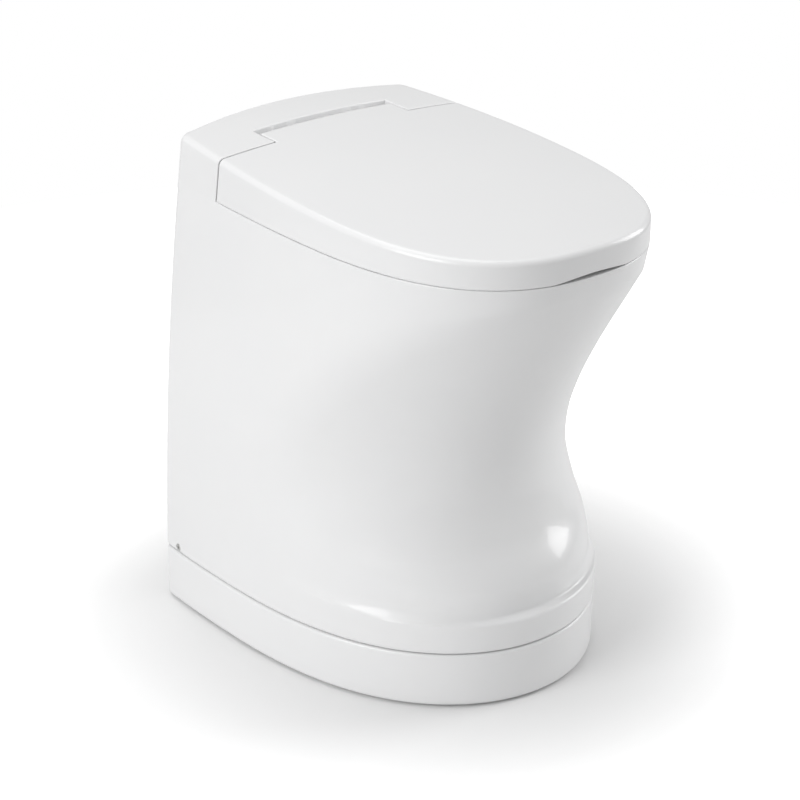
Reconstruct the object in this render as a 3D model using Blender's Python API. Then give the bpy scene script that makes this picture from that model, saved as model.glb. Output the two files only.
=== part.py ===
"""An electric incinerating toilet, built piece by piece.

Lengths are in metres and +Z is up. The user sits facing -Y. The origin is on the floor, under the
middle of the whole length, which runs from the front of the lid to the end of the flue spigot.
"""

import math

import bmesh
import bpy
from mathutils import Matrix, Vector

# Body outline at the floor and at the lid's seam, seen from above
base_half_width = 0.195
base_rear_narrowing = 0.002
base_rear_half_width = base_half_width - base_rear_narrowing
base_widest_y = 0.140
base_front_y = -0.232
base_length_power_share = 3.0
base_width_power_share = 2.0
seam_half_width = 0.170
seam_rear_half_width = 0.1585
seam_widest_y = -0.016
seam_front_y = -0.290
seam_length_power_share = 2.82
seam_width_power_share = 2.5
rear_y = 0.199
rear_bow = 0.020
corner_radius = 0.012
side_power_share = 1.6
draft_power_share = 1.9

# Heights of the body
groove_height = 0.0645
groove_gap = 0.0012
seam_height = 0.492
seam_gap = 0.0006
lid_rise = 0.057
top_height = seam_height + lid_rise
lid_fall = 0.027
lid_fall_power_share = 1.5
crown = 0.008
edge_radius = 0.006
wall = 0.004
top_plate = 0.004
piece_gap = 0.0003
overrun = 0.030

# Heel recess in the front: heights, then the tip's depth and the roundness at those heights
recess_bottom = 0.100
recess_ceiling_drop = 0.018
recess_top = seam_height - recess_ceiling_drop
recess_waist_y = -0.185
recess_mouth_y = -0.290
recess_side_reach = 0.010
recess_half_span = base_half_width + recess_side_reach
recess_half_length = 0.300
recess_height_shares = (0, 0.03, 0.08, 0.135, 0.187, 0.32, 0.455, 0.588, 0.722, 0.856, 0.95, 1)
recess_tip_shares = (0.36, 0.39, 0.41, 0.32, 0.177, 0.008, 0.033, 0.196, 0.44, 0.716, 0.89, 0.972)
recess_round_shares = (0.77, 1, 1.08, 1.05, 1.02, 1.035, 1.025, 0.997, 0.955, 0.88, 0.69, 0.26)

# Lid, its tongue and the hinge that it shares with the seat
ear_y = 0.1107
ear_lean_share = 0.1
ear_gap = 0.0024
lid_wall = 0.003
tongue_half_width = 0.0885
pocket_half_width = 0.0898
pocket_clearance = 0.0009
lid_open_angle = 95
hinge_y = 0.136
hinge_rise = 0.040
hinge_z = seam_height + hinge_rise
hinge_pin_radius = 0.003
hinge_pin_head_radius = 0.005
hinge_bore_clearance = 0.0003
knuckle_radius = 0.008
seat_knuckle_inner = 0.0775
knuckle_width = 0.0105
knuckle_clearance = 0.0006
lid_knuckle_inner = 0.066
notch_half_width = 0.052
notch_height = 0.006
finger_notch_depth = 0.030

# Seat and its buffers
seat_lift = 0.0032
seat_bottom = seam_height + seat_lift
seat_edge_height = 0.0085
seat_crown_height = 0.0145
seat_edge_gap = 0.0045
seat_rear_y = 0.072
seat_hole_half_x = 0.105
seat_hole_half_y = 0.138
seat_hole_y = -0.100
seat_corner_radius = 0.045
buffer_radius = 0.007
buffer_half_spacing_x = 0.128
buffer_front_y = -0.165
buffer_rear_y = 0.040
lid_buffer_half_spacing_x = 0.075
lid_buffer_y = -0.245
lid_buffer_radius = 0.006

# Bowl, its seal and the throat plate
bowl_half_x = 0.1165
bowl_half_y = 0.1465
bowl_y = -0.100
bowl_rim_width = 0.013
bowl_sheet = 0.0015
bowl_hole_clearance = 0.002
throat_y = -0.030
throat_half_x = 0.078
throat_half_y = 0.060
throat_top = 0.3385
throat_rim_width = 0.014
seal_height = 0.0034
plate_sheet = 0.002
throat_plate_top = 0.3345
lug_thickness = 0.004
lug_half_width = 0.010

# Bowl flaps, their shafts and the gears that turn them
flap_axis_x = 0.081
flap_axis_z = 0.320
flap_half_length = 0.063
flap_sheet = 0.0016
flap_sag = 0.006
flap_meeting_gap = 0.0006
barrel_radius = 0.0065
shaft_radius = 0.004
shaft_clearance = 0.0003
lug_gap = 0.0008
gear_module = 0.003
gear_teeth = 18
gear_front_y = 0.075
gear_width = 0.008
gear_backlash = 0.0006
gear_root_clearance = 0.0012
drive_plate_y = 0.0875
drive_plate_half_width = 0.114
drive_plate_bottom = 0.298
drive_tab_width = 0.006
motor_shaft_radius = 0.003
flap_motor_radius = 0.0165
flap_motor_length = 0.042
flap_motor_socket = 0.008
idler_pin_radius = 0.004

# Combustion chamber, its jacket and stand
chamber_y = -0.030
chamber_half_x = 0.098
chamber_half_y = 0.085
chamber_corner = 0.030
well_half_x = 0.077
well_half_y = 0.063
well_corner = 0.033
chamber_sheet = 0.002
chamber_floor = 0.098
taper_bottom = 0.172
taper_top = 0.192
chamber_top = 0.330
chamber_rim_width = 0.016
jacket_thickness = 0.011
jacket_bottom = 0.108
jacket_top_gap = 0.0025
stand_half_x = 0.066
stand_half_y = 0.052
stand_leg = 0.012
stand_sheet = 0.002

# Heating element, bushes and temperature sensor
heater_radius = 0.00325
heater_half_x = 0.089
heater_half_y = 0.076
heater_corner = 0.040
heater_bottom = 0.199
heater_pitch = 0.011
heater_tail_x = 0.046
heater_end_y = 0.084
bush_radius = 0.0065
bush_clearance = 0.0004
bush_inner_y = 0.050
bush_outer_y = 0.078
sensor_x = 0.062
sensor_z = 0.272
sensor_radius = 0.003
sensor_nut_radius = 0.007
sensor_tip_y = 0.038
sensor_nut_length = 0.008
sensor_tail = 0.010

# Ash pan and its bail handle
pan_half_x = 0.073
pan_half_y = 0.059
pan_corner = 0.030
pan_sheet = 0.0015
pan_height = 0.058
bail_radius = 0.002
bail_drop = 0.007
bail_corner = 0.025
bail_clearance = 0.0006
bail_side_gap = 0.002
bail_end_gap = 0.0035

# Exhaust line: catalyst, fan and flue spigot, all on one axis
exhaust_z = 0.225
port_radius = 0.026
catalyst_radius = 0.0275
catalyst_front_y = 0.064
catalyst_length = 0.028
catalyst_hole_radius = 0.0035
catalyst_hole_ring = 0.0155
catalyst_holes = 6
duct_sheet = 0.0015
fan_front_y = 0.1003
fan_back_y = 0.158
fan_radius = 0.062
fan_sheet = 0.002
fan_eye_radius = 0.027
duct_flange_radius = 0.040
impeller_front_y = 0.107
impeller_length = 0.024
impeller_radius = 0.054
impeller_eye_radius = 0.024
impeller_plate = 0.002
impeller_hub_radius = 0.010
impeller_blades = 8
blade_thickness = 0.002
blade_lean_share = 0.35
fan_shaft_radius = 0.0025
fan_motor_radius = 0.026
fan_motor_length = 0.019
fan_motor_gap = 0.003
fan_motor_socket = 0.006
motor_arm_width = 0.008
motor_arms = 3
spigot_radius = 0.055
spigot_wall = 0.0025
spigot_end_y = 0.290
spigot_flange = 0.003
panel_hole_clearance = 0.0008
fan_post_half_width = 0.026
fan_post_depth = 0.024
fan_post_cradle = 0.012

# Base tray and its feet
foot_height = 0.0027
foot_radius = 0.015
foot_peg_radius = 0.004
foot_peg_rise = 0.004
foot_half_spacing_x = 0.120
foot_front_y = -0.130
foot_rear_y = 0.150
tray_floor = 0.003
lip_height = 0.012
lip_inset = 0.0062
lip_wall = 0.0026

# Rear panel, its screws, its slots and the power inlet
panel_thickness = 0.005
screw_head_radius = 0.0046
screw_shank_radius = 0.0019
screw_clearance = 0.0005
screw_counterbore = 0.003
low_screw_x = 0.164
low_screw_z = 0.092
high_screw_x = 0.128
high_screw_rise = 0.016
high_screw_z = seam_height + high_screw_rise
boss_half_width = 0.008
boss_depth = 0.016
screw_length = 0.014
slot_count = 6
slot_half_width = 0.045
slot_height = 0.004
slot_pitch = 0.010
slot_drop = 0.102
slot_bottom = seam_height - slot_drop
inlet_z = 0.105
inlet_half_width = 0.018
inlet_half_height = 0.013
inlet_flange = 0.005
inlet_flange_sheet = 0.002
inlet_depth = 0.026
inlet_socket_depth = 0.016
inlet_socket_wall = 0.003
casing_screw_y = 0.170
casing_screw_z = 0.0715
casing_screw_head_radius = 0.004
casing_screw_recess = 0.0014
casing_screw_head_height = 0.0012

# Start button, lens, control box and board, under the lid on the right
button_x = 0.116
button_y = 0.090
button_radius = 0.009
button_sink = 0.006
button_bottom = seam_height - button_sink
button_rise = 0.0055
button_top = seam_height + button_rise
button_travel = 0.0025
button_stem_radius = 0.003
button_stem_drop = 0.0305
button_stem_bottom = seam_height - button_stem_drop
bezel_clearance = 0.0004
bezel_radius = 0.0135
bezel_height = 0.0022
bezel_sleeve = 0.0018
lens_x = 0.140
lens_radius = 0.0035
lens_rim_radius = 0.005
lens_rim_height = 0.0012
lens_tail = 0.008
lens_clearance = 0.0003
box_low_x = 0.096
box_high_x = 0.152
box_low_y = 0.062
box_high_y = 0.108
box_drop = 0.042
box_bottom = seam_height - box_drop
box_sheet = 0.002
board_gap = 0.0016
board_sheet = 0.0016
board_rest = 0.004
switch_half_width = 0.003
switch_drop = 0.0335
switch_top = seam_height - switch_drop

# Fineness of the meshes
rear_steps = 3
corner_steps = 2
side_steps = 4
front_steps = 13
front_spread_share = 1.3
round_steps = 3
recess_angles = (0, 15, 29, 41, 50, 57, 63, 69, 76, 90)
recess_level_shares = (
    0, 0.03, 0.07, 0.12, 0.18, 0.25, 0.32, 0.40, 0.48, 0.56,
    0.64, 0.71, 0.78, 0.84, 0.89, 0.93, 0.96, 0.98, 1,
)
bowl_steps = 28
seat_steps = 40
turn_steps = 24
small_steps = 12
tiny_share = 1e-9


def clear_scene():
    for item in list(bpy.data.objects):
        bpy.data.objects.remove(item)


def finish(name, colour, roughness, metallic=0.0, alpha=1.0):
    """A plain material with the piece's colour, gloss and metal."""
    material = bpy.data.materials.new(name)
    material.use_nodes = True
    shader = material.node_tree.nodes["Principled BSDF"]
    shader.inputs["Base Color"].default_value = (*colour, 1)
    shader.inputs["Roughness"].default_value = roughness
    shader.inputs["Metallic"].default_value = metallic
    shader.inputs["Alpha"].default_value = alpha
    return material


def between(low, high, share):
    return low + (high - low) * share


def curve_value(shares, values, share):
    """A smooth curve through a table of values, with slopes taken from the neighbours."""
    last = len(shares) - 1
    share = min(max(share, shares[0]), shares[last])
    k = max(i for i in range(last) if shares[i] <= share)
    slopes = []
    for i in (k, k + 1):
        low, high = max(i - 1, 0), min(i + 1, last)
        slopes.append((values[high] - values[low]) / (shares[high] - shares[low]))
    span = shares[k + 1] - shares[k]
    t = (share - shares[k]) / span
    start = values[k] * (1 + 2 * t) * (1 - t) ** 2 + slopes[0] * span * t * (1 - t) ** 2
    end = values[k + 1] * t * t * (3 - 2 * t) - slopes[1] * span * t * t * (1 - t)
    return start + end


# The body's outer form


def half_outline(height, inset=0.0, rear_inset=None):
    """Right half of the body's plan at a height, from the rear centre to the front tip."""
    draft = (max(height, 0) / seam_height) ** draft_power_share
    front_share = min(draft, 1)
    half = between(base_half_width, seam_half_width, front_share) - inset
    rear_half = between(base_rear_half_width, seam_rear_half_width, draft) - inset
    widest = between(base_widest_y, seam_widest_y, front_share)
    front = between(base_front_y, seam_front_y, front_share) + inset
    length_power = between(base_length_power_share, seam_length_power_share, front_share)
    width_power = between(base_width_power_share, seam_width_power_share, front_share)
    back = rear_y - (inset if rear_inset is None else rear_inset)
    radius = max(corner_radius - inset, corner_radius / 4)

    def side_x(y):
        share = max((y - widest) / (back - widest), 0)
        return half - (half - rear_half) * share**side_power_share

    def rear_line(x):
        return back + rear_bow * (1 - (x / rear_half) ** 2)

    centre_y = rear_line(rear_half - radius) - radius
    centre_x = side_x(centre_y) - radius
    points = []
    for i in range(rear_steps):
        x = centre_x * i / rear_steps
        points.append((x, rear_line(x)))
    for i in range(corner_steps + 1):
        angle = math.pi / 2 * (1 - i / corner_steps)
        points.append((centre_x + radius * math.cos(angle), centre_y + radius * math.sin(angle)))
    for i in range(1, side_steps + 1):
        y = between(centre_y, widest, i / side_steps)
        points.append((side_x(y), y))
    for i in range(1, front_steps + 1):
        angle = math.pi / 2 * (i / front_steps) ** front_spread_share
        x = half * math.cos(angle) ** (2 / width_power) if i < front_steps else 0.0
        points.append((x, widest + (front - widest) * math.sin(angle) ** (2 / length_power)))
    return points


def full_ring(half):
    """The mirrored outline, as a closed run of points."""
    return half + [(-x, y) for x, y in half[-2:0:-1]]


def dome(x, y):
    """Height of the top surface, which falls towards the front and rounds off sideways."""
    fall = max(rear_y - y, 0) / (rear_y - seam_front_y)
    return top_height - lid_fall * fall**lid_fall_power_share - crown * (x / seam_half_width) ** 2


def flat_ring(height, inset=0.0, rear_inset=None):
    return [(x, y, height) for x, y in full_ring(half_outline(height, inset, rear_inset))]


def edge_ring(turn, inset, drop):
    """A ring on the rounded top edge: turn 0 is where the side ends, 1 where the top begins."""
    radius = edge_radius - inset
    angle = math.pi / 2 * turn
    guess = full_ring(half_outline(top_height, inset))
    ring = []
    for i, (x, y) in enumerate(guess):
        height = dome(x, y) - drop - radius * (1 - math.sin(angle))
        x, y = full_ring(half_outline(height, inset + radius * (1 - math.cos(angle))))[i]
        ring.append((x, y, height))
    return ring


def body_form(bottom, inset=0.0, levels=()):
    """The closed body from a flat bottom to its domed top, drawn in by inset."""
    rings = [flat_ring(height, inset) for height in (bottom, *levels)]
    rings += [edge_ring(i / round_steps, inset, inset) for i in range(round_steps + 1)]
    top = rings[-1]
    for share in (0.7, 0.35):
        ring = []
        for x, y, _ in top:
            inner_y = between(seam_widest_y, y, share)
            ring.append((x * share, inner_y, dome(x * share, inner_y) - inset))
        rings.append(ring)
    rings.append([(0, seam_widest_y, dome(0, seam_widest_y) - inset)])
    return loft(rings, split=True)


def recess_section(share, grow, skip):
    """The heel recess cut level: an arc across the body, closed far out in front."""
    tip_share = curve_value(recess_height_shares, recess_tip_shares, share)
    tip = between(recess_waist_y, recess_mouth_y, tip_share)
    length = recess_half_length * curve_value(recess_height_shares, recess_round_shares, share)
    centre_y = tip + length
    points = []
    half = [math.radians(angle) for angle in recess_angles[: -1 : skip] + recess_angles[-1:]]
    for angle in [-turn for turn in half[:0:-1]] + half:
        x = (recess_half_span - grow) * math.sin(angle)
        points.append((x, centre_y - (length - grow) * math.cos(angle)))
    side = recess_half_span + overrun
    front = recess_mouth_y - 2 * overrun
    points += [(side, centre_y), (side, front), (-side, front), (-side, centre_y)]
    return points


def recess_form(grow=0.0, skip=1):
    """The space cut out of the body's front for the user's heels."""
    loops = []
    for share in recess_level_shares[::skip]:
        height = between(recess_bottom - grow, recess_top + grow, share)
        loops.append([(x, y, height) for x, y in recess_section(share, grow, skip)])
    return loft(loops, split=True)


# Mesh tools


def loft(loops, ring=False, split=False):
    """Skin over loops of equal length. A last loop of one point closes to a tip.

    With split, each warped quad is made of two triangles, always along the same diagonal.
    """
    mesh = bmesh.new()
    rows = [[mesh.verts.new(point) for point in loop] for loop in loops]
    pairs = list(zip(rows, rows[1:]))
    if ring:
        pairs.append((rows[-1], rows[0]))
    for low, high in pairs:
        count = len(low)
        for i in range(count):
            j = (i + 1) % count
            if len(high) == 1:
                mesh.faces.new((low[i], low[j], high[0]))
            elif split:
                mesh.faces.new((low[i], low[j], high[j]))
                mesh.faces.new((low[i], high[j], high[i]))
            else:
                mesh.faces.new((low[i], low[j], high[j], high[i]))
    if not ring:
        mesh.faces.new(list(reversed(rows[0])))
        if len(rows[-1]) > 1:
            mesh.faces.new(rows[-1])
    bmesh.ops.recalc_face_normals(mesh, faces=mesh.faces)
    return mesh


def prism(outline, low, high, axis="Z"):
    """An outline pushed along an axis. Its two numbers are the other two axes, in order."""
    place = {
        "X": lambda u, v, w: (w, u, v),
        "Y": lambda u, v, w: (u, w, v),
        "Z": lambda u, v, w: (u, v, w),
    }[axis]
    return loft([[place(u, v, w) for u, v in outline] for w in (low, high)])


def box(low, high):
    (x0, y0, z0), (x1, y1, z1) = low, high
    return prism([(x0, y0), (x1, y0), (x1, y1), (x0, y1)], z0, z1)


def round_rect(half_x, half_y, radius, centre_y=0.0, steps=3):
    """A rectangle with round corners, as plan points."""
    points = []
    for quarter, (sx, sy) in enumerate(((1, 1), (-1, 1), (-1, -1), (1, -1))):
        for i in range(steps + 1):
            angle = math.pi / 2 * (quarter + i / steps)
            x = sx * (half_x - radius) + radius * math.cos(angle)
            y = sy * (half_y - radius) + radius * math.sin(angle)
            points.append((x, centre_y + y))
    return points


def oval(half_x, half_y, centre_y, power, steps):
    """A superellipse in plan: power 2 is an ellipse, more is squarer."""
    points = []
    for i in range(steps):
        angle = 2 * math.pi * i / steps
        c, s = math.cos(angle), math.sin(angle)
        x = math.copysign(abs(c) ** (2 / power), c)
        y = math.copysign(abs(s) ** (2 / power), s)
        points.append((half_x * x, centre_y + half_y * y))
    return points


def at_height(points, height):
    return [(x, y, height) for x, y in points]


def turned(profile, steps, ring=False):
    """A profile of (radius, height) turned about Z. A radius of zero closes to a tip."""
    mesh = bmesh.new()
    rows = []
    for radius, height in profile:
        if radius == 0:
            rows.append([mesh.verts.new((0, 0, height))])
            continue
        row = []
        for i in range(steps):
            angle = 2 * math.pi * i / steps
            row.append(mesh.verts.new((radius * math.cos(angle), radius * math.sin(angle), height)))
        rows.append(row)
    pairs = list(zip(rows, rows[1:]))
    if ring:
        pairs.append((rows[-1], rows[0]))
    for low, high in pairs:
        for i in range(steps):
            j = (i + 1) % steps
            corners = [low[i % len(low)], low[j % len(low)], high[j % len(high)], high[i % len(high)]]
            mesh.faces.new(list(dict.fromkeys(corners)))
    bmesh.ops.recalc_face_normals(mesh, faces=mesh.faces)
    return mesh


def disc(radius, low, high, steps):
    return turned([(0, low), (radius, low), (radius, high), (0, high)], steps)


def tube(inner, outer, low, high, steps):
    return turned([(inner, low), (outer, low), (outer, high), (inner, high)], steps, ring=True)


def along(mesh, axis, centre=(0, 0, 0)):
    """Turns a form made about Z to lie about another axis, and moves it to a place."""
    turn = {
        "X": Matrix.Rotation(math.pi / 2, 4, "Y"),
        "Y": Matrix.Rotation(-math.pi / 2, 4, "X"),
        "Z": Matrix.Identity(4),
    }[axis]
    bmesh.ops.transform(mesh, matrix=Matrix.Translation(centre) @ turn, verts=mesh.verts)
    return mesh


def turn_about_y(mesh, angle):
    bmesh.ops.transform(mesh, matrix=Matrix.Rotation(angle, 4, "Y"), verts=mesh.verts)
    return mesh


def piece(name, mesh, material=None, origin=(0, 0, 0)):
    """A named object from a mesh, with its origin where the piece turns or stands."""
    bmesh.ops.translate(mesh, vec=-Vector(origin), verts=mesh.verts)
    data = bpy.data.meshes.new(name)
    mesh.to_mesh(data)
    mesh.free()
    item = bpy.data.objects.new(name, data)
    item.location = origin
    bpy.context.scene.collection.objects.link(item)
    bpy.context.view_layer.update()
    if material:
        dress(item, material)
    return item


def dress(item, material):
    """Gives a finished piece its material and its smooth shading."""
    item.data.materials.clear()
    item.data.materials.append(material)
    item.data.shade_smooth()
    item.data.set_sharp_from_angle(angle=math.radians(32))


def combine(item, mesh, operation):
    """Joins, cuts or trims a piece with a second form, which is used up."""
    tool = piece("tool", mesh)
    modifier = item.modifiers.new(operation, "BOOLEAN")
    modifier.operation = operation
    modifier.solver = "EXACT"
    modifier.object = tool
    graph = bpy.context.evaluated_depsgraph_get()
    result = bpy.data.meshes.new_from_object(item.evaluated_get(graph))
    item.modifiers.clear()
    item.data = result
    bpy.data.objects.remove(tool)
    return item


def cut(item, *meshes):
    for mesh in meshes:
        combine(item, mesh, "DIFFERENCE")
    return item


def join(item, *meshes):
    for mesh in meshes:
        combine(item, mesh, "UNION")
    return item


def keep(item, mesh):
    return combine(item, mesh, "INTERSECT")


# Regions that divide the body into casing, lid and rear panel


def lid_region(shift, bottom):
    """Everything in front of the leaning ear line and above a height."""
    reach = base_half_width + overrun
    front = seam_front_y - overrun
    top = top_height + overrun
    low, high = ear_line(bottom) + shift, ear_line(top) + shift
    outline = [(front, bottom), (low, bottom), (high, top), (front, top)]
    return prism(outline, -reach, reach, "X")


def ear_line(height):
    """How far back the ears' front faces lie at a height: they lean back towards the seam."""
    return ear_y + ear_lean_share * (top_height - height)


def tongue_radius(x):
    return dome(x, hinge_y) - hinge_z


def arc_points(radius, start, end, steps):
    """Points on an arc about the hinge line, seen from +X, angles in degrees from +Y."""
    points = []
    for i in range(steps + 1):
        angle = math.radians(between(start, end, i / steps))
        points.append((hinge_y + radius * math.cos(angle), hinge_z + radius * math.sin(angle)))
    return points


def pocket_reach(x):
    """How far behind the hinge line the open lid's flat top swings, with clearance."""
    tilt = math.radians(lid_open_angle - 90)
    return tongue_radius(x) * (1 / math.cos(tilt) + math.tan(tilt)) + pocket_clearance


def pocket_form():
    """The space that the lid's tongue rolls in, behind the ear line and open at the top."""
    loops = []
    front = ear_y - 2 * lid_wall
    for i in range(7):
        x = between(-pocket_half_width, pocket_half_width, i / 6)
        radius = pocket_reach(x)
        section = [(front, seam_height), (hinge_y, seam_height)]
        section += arc_points(radius, -90, 0, 6)
        section += [(hinge_y + radius, top_height + overrun), (front, top_height + overrun)]
        loops.append([(x, y, z) for y, z in section])
    return loft(loops)


def rear_half_width(height):
    draft = (max(height, 0) / seam_height) ** draft_power_share
    return between(base_rear_half_width, seam_rear_half_width, draft)


def panel_face_y(x, height):
    """How far back the body's bowed rear face lies at a place."""
    return rear_y + rear_bow * (1 - (x / rear_half_width(height)) ** 2)


def rear_region(gap):
    """Everything behind the rear panel's bowed inner face."""
    reach = base_half_width + overrun
    loops = []
    for level in range(7):
        height = between(0, top_height + overrun, level / 6)
        loop = []
        for i in range(9):
            x = between(-reach, reach, i / 8)
            loop.append((x, panel_face_y(x, height) - panel_thickness - gap, height))
        loop += [(reach, rear_y + 2 * overrun, height), (-reach, rear_y + 2 * overrun, height)]
        loops.append(loop)
    return loft(loops, split=True)


# Body pieces


def make_casing(white):
    levels = [between(groove_height, seam_height, share) for share in (0.25, 0.45, 0.65, 0.83, 1)]
    casing = piece("casing", body_form(groove_height + groove_gap / 2, levels=levels))
    cut(casing, lid_region(0, seam_height), pocket_form(), recess_form())
    heights = (0, *levels[:-1], seam_height - top_plate)
    cavity = piece("cavity", loft([flat_ring(z, wall, 0) for z in heights], split=True))
    cut(cavity, recess_form(wall, 2))
    cut(casing, cavity_mesh(cavity))
    join(casing, *screw_bosses())
    cut(casing, deck_cavity(), rear_region(piece_gap))
    hole_x = bowl_half_x + bowl_hole_clearance
    hole_y = bowl_half_y + bowl_hole_clearance
    hole = oval(hole_x, hole_y, bowl_y, 2, bowl_steps)
    cut(casing, prism(hole, seam_height - 2 * top_plate, seam_height + top_plate))
    sleeve = button_radius + bezel_clearance + bezel_sleeve + lens_clearance
    low, high = seam_height - 2 * top_plate, seam_height + top_plate
    cut(casing, along(disc(sleeve, low, high, turn_steps), "Z", (button_x, button_y, 0)))
    lens_hole = lens_radius + lens_clearance
    cut(casing, along(disc(lens_hole, low, high, small_steps), "Z", (lens_x, button_y, 0)))
    for side in (-1, 1):
        bore = disc(hinge_pin_radius + hinge_bore_clearance, -overrun, overrun, small_steps)
        cut(casing, along(bore, "X", (side * pocket_half_width, hinge_y, hinge_z)))
        drill_casing_screw(casing, side)
        for x, z in ((low_screw_x, low_screw_z), (high_screw_x, high_screw_z)):
            bore = disc(screw_shank_radius + piece_gap, -overrun, overrun, small_steps)
            cut(casing, along(bore, "Y", (side * x, rear_y - panel_thickness, z)))
    dress(casing, white)


def cavity_mesh(item):
    """Takes a helper object's mesh out, to cut with, and removes the helper."""
    mesh = bmesh.new()
    mesh.from_mesh(item.data)
    bpy.data.objects.remove(item)
    return mesh


def deck_cavity():
    """The hollow under the raised deck, behind the ears and round the tongue's pocket."""
    pocket_x = pocket_half_width + wall
    pocket_y = hinge_y + pocket_reach(0) + lid_wall
    low = seam_height - 2 * top_plate
    helper = piece("hollow", body_form(low, wall, levels=(seam_height,)))
    reach = base_half_width
    back = rear_y + overrun
    front = ear_y + wall
    outline = [(-reach, back), (-reach, front), (-pocket_x, front), (-pocket_x, pocket_y)]
    outline += [(pocket_x, pocket_y), (pocket_x, front), (reach, front), (reach, back)]
    keep(helper, prism(outline, low, top_height))
    cut(helper, lid_region(wall, low - overrun), *screw_bosses())
    return cavity_mesh(helper)


def screw_bosses():
    """Blocks inside the rear corners that the rear panel's screws bite into."""
    blocks = []
    front = rear_y - panel_thickness - boss_depth
    for side in (-1, 1):
        for x, z in ((low_screw_x, low_screw_z), (high_screw_x, high_screw_z)):
            low = Vector((x - boss_half_width, front, z - boss_half_width))
            reach = base_rear_half_width if z == low_screw_z else seam_rear_half_width
            edge = edge_radius / 2 if z != low_screw_z else 0
            high = Vector((reach - wall / 2 - edge, rear_y, z + boss_half_width))
            ends = sorted((side * low.x, side * high.x))
            blocks.append(box((ends[0], low.y, low.z), (ends[1], high.y, high.z)))
    return blocks


def side_face_x(y, height):
    """Half width of the body's flank at a place, read off the plan outline."""
    half = half_outline(height)
    for (x0, y0), (x1, y1) in zip(half[rear_steps:], half[rear_steps + 1 :]):
        if y1 <= y <= y0:
            return between(x0, x1, (y0 - y) / (y0 - y1))
    raise ValueError("no flank there")


def drill_casing_screw(item, side):
    """The small recess and hole for a screw low on the casing's flank."""
    face = side_face_x(casing_screw_y, casing_screw_z)
    head = disc(casing_screw_head_radius + screw_clearance, -casing_screw_recess, overrun, small_steps)
    shank = disc(screw_shank_radius + piece_gap, -overrun, overrun, small_steps)
    for form in (head, shank):
        if side < 0:
            bmesh.ops.transform(form, matrix=Matrix.Rotation(math.pi, 4, "X"), verts=form.verts)
        cut(item, along(form, "X", (side * face, casing_screw_y, casing_screw_z)))


def make_rear_panel(white):
    levels = [between(groove_height, seam_height, share) for share in (0.3, 0.65, 1)]
    panel = piece("rear_panel", body_form(groove_height + groove_gap / 2, levels=levels))
    keep(panel, rear_region(0))
    hole = disc(spigot_radius + panel_hole_clearance, 0, overrun * 2, 2 * turn_steps)
    cut(panel, along(hole, "Y", (0, rear_y - overrun, exhaust_z)))
    for i in range(slot_count):
        low = slot_bottom + i * slot_pitch
        near = (-slot_half_width, rear_y - overrun, low)
        cut(panel, box(near, (slot_half_width, rear_y + overrun, low + slot_height)))
    half_x = inlet_half_width + screw_clearance
    half_z = inlet_half_height + screw_clearance
    low = (-half_x, rear_y - overrun, inlet_z - half_z)
    cut(panel, box(low, (half_x, rear_y + overrun, inlet_z + half_z)))
    for side in (-1, 1):
        for x, z in ((low_screw_x, low_screw_z), (high_screw_x, high_screw_z)):
            seat = panel_face_y(x, z) - screw_counterbore
            head = disc(screw_head_radius + screw_clearance, 0, overrun, small_steps)
            shank = disc(screw_shank_radius + piece_gap, -overrun, overrun, small_steps)
            cut(panel, along(head, "Y", (side * x, seat, z)), along(shank, "Y", (side * x, seat, z)))
    dress(panel, white)


def make_panel_screws(steel):
    for side, word in ((-1, "left"), (1, "right")):
        for x, z, level in ((low_screw_x, low_screw_z, "low"), (high_screw_x, high_screw_z, "high")):
            seat = panel_face_y(x, z) - screw_counterbore + piece_gap
            profile = [(0, -screw_length), (screw_shank_radius, -screw_length), (screw_shank_radius, 0)]
            profile += [(screw_head_radius, 0), (screw_head_radius, screw_counterbore / 2)]
            profile += [(screw_head_radius / 2, screw_counterbore * 0.7), (0, screw_counterbore * 0.7)]
            mesh = along(turned(profile, small_steps), "Y", (side * x, seat, z))
            piece(f"rear_panel_screw_{level}_{word}", mesh, steel)


def make_casing_screws(steel):
    face = side_face_x(casing_screw_y, casing_screw_z)
    length = lip_inset + lip_wall
    for side, word in ((-1, "left"), (1, "right")):
        seat = face - casing_screw_recess + piece_gap
        profile = [(0, -length), (screw_shank_radius, -length), (screw_shank_radius, 0)]
        profile += [(casing_screw_head_radius, 0), (screw_shank_radius, casing_screw_head_height)]
        profile += [(0, casing_screw_head_height)]
        mesh = turned(profile, small_steps)
        if side < 0:
            bmesh.ops.transform(mesh, matrix=Matrix.Rotation(math.pi, 4, "X"), verts=mesh.verts)
        piece(f"casing_screw_{word}", along(mesh, "X", (side * seat, casing_screw_y, casing_screw_z)), steel)


def make_base_tray(white):
    bottom = foot_height + piece_gap
    top = groove_height - groove_gap / 2
    tray = piece("base_tray", loft([flat_ring(z) for z in (bottom, top)]))
    inner = lip_inset + lip_wall
    join(tray, loft([flat_ring(z, lip_inset) for z in (bottom + tray_floor, top + lip_height)]))
    cut(tray, loft([flat_ring(z, inner) for z in (bottom + tray_floor, top + lip_height + overrun)]))
    for x, y in foot_places():
        cut(tray, along(disc(foot_peg_radius + piece_gap, 0, overrun, small_steps), "Z", (x, y, 0)))
    for side in (-1, 1):
        shank = disc(screw_shank_radius + piece_gap, -overrun, overrun, small_steps)
        face = side_face_x(casing_screw_y, casing_screw_z)
        cut(tray, along(shank, "X", (side * face, casing_screw_y, casing_screw_z)))
    dress(tray, white)


def foot_places():
    front, rear = foot_front_y, foot_rear_y
    return [(side * foot_half_spacing_x, y) for y in (front, rear) for side in (-1, 1)]


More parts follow.
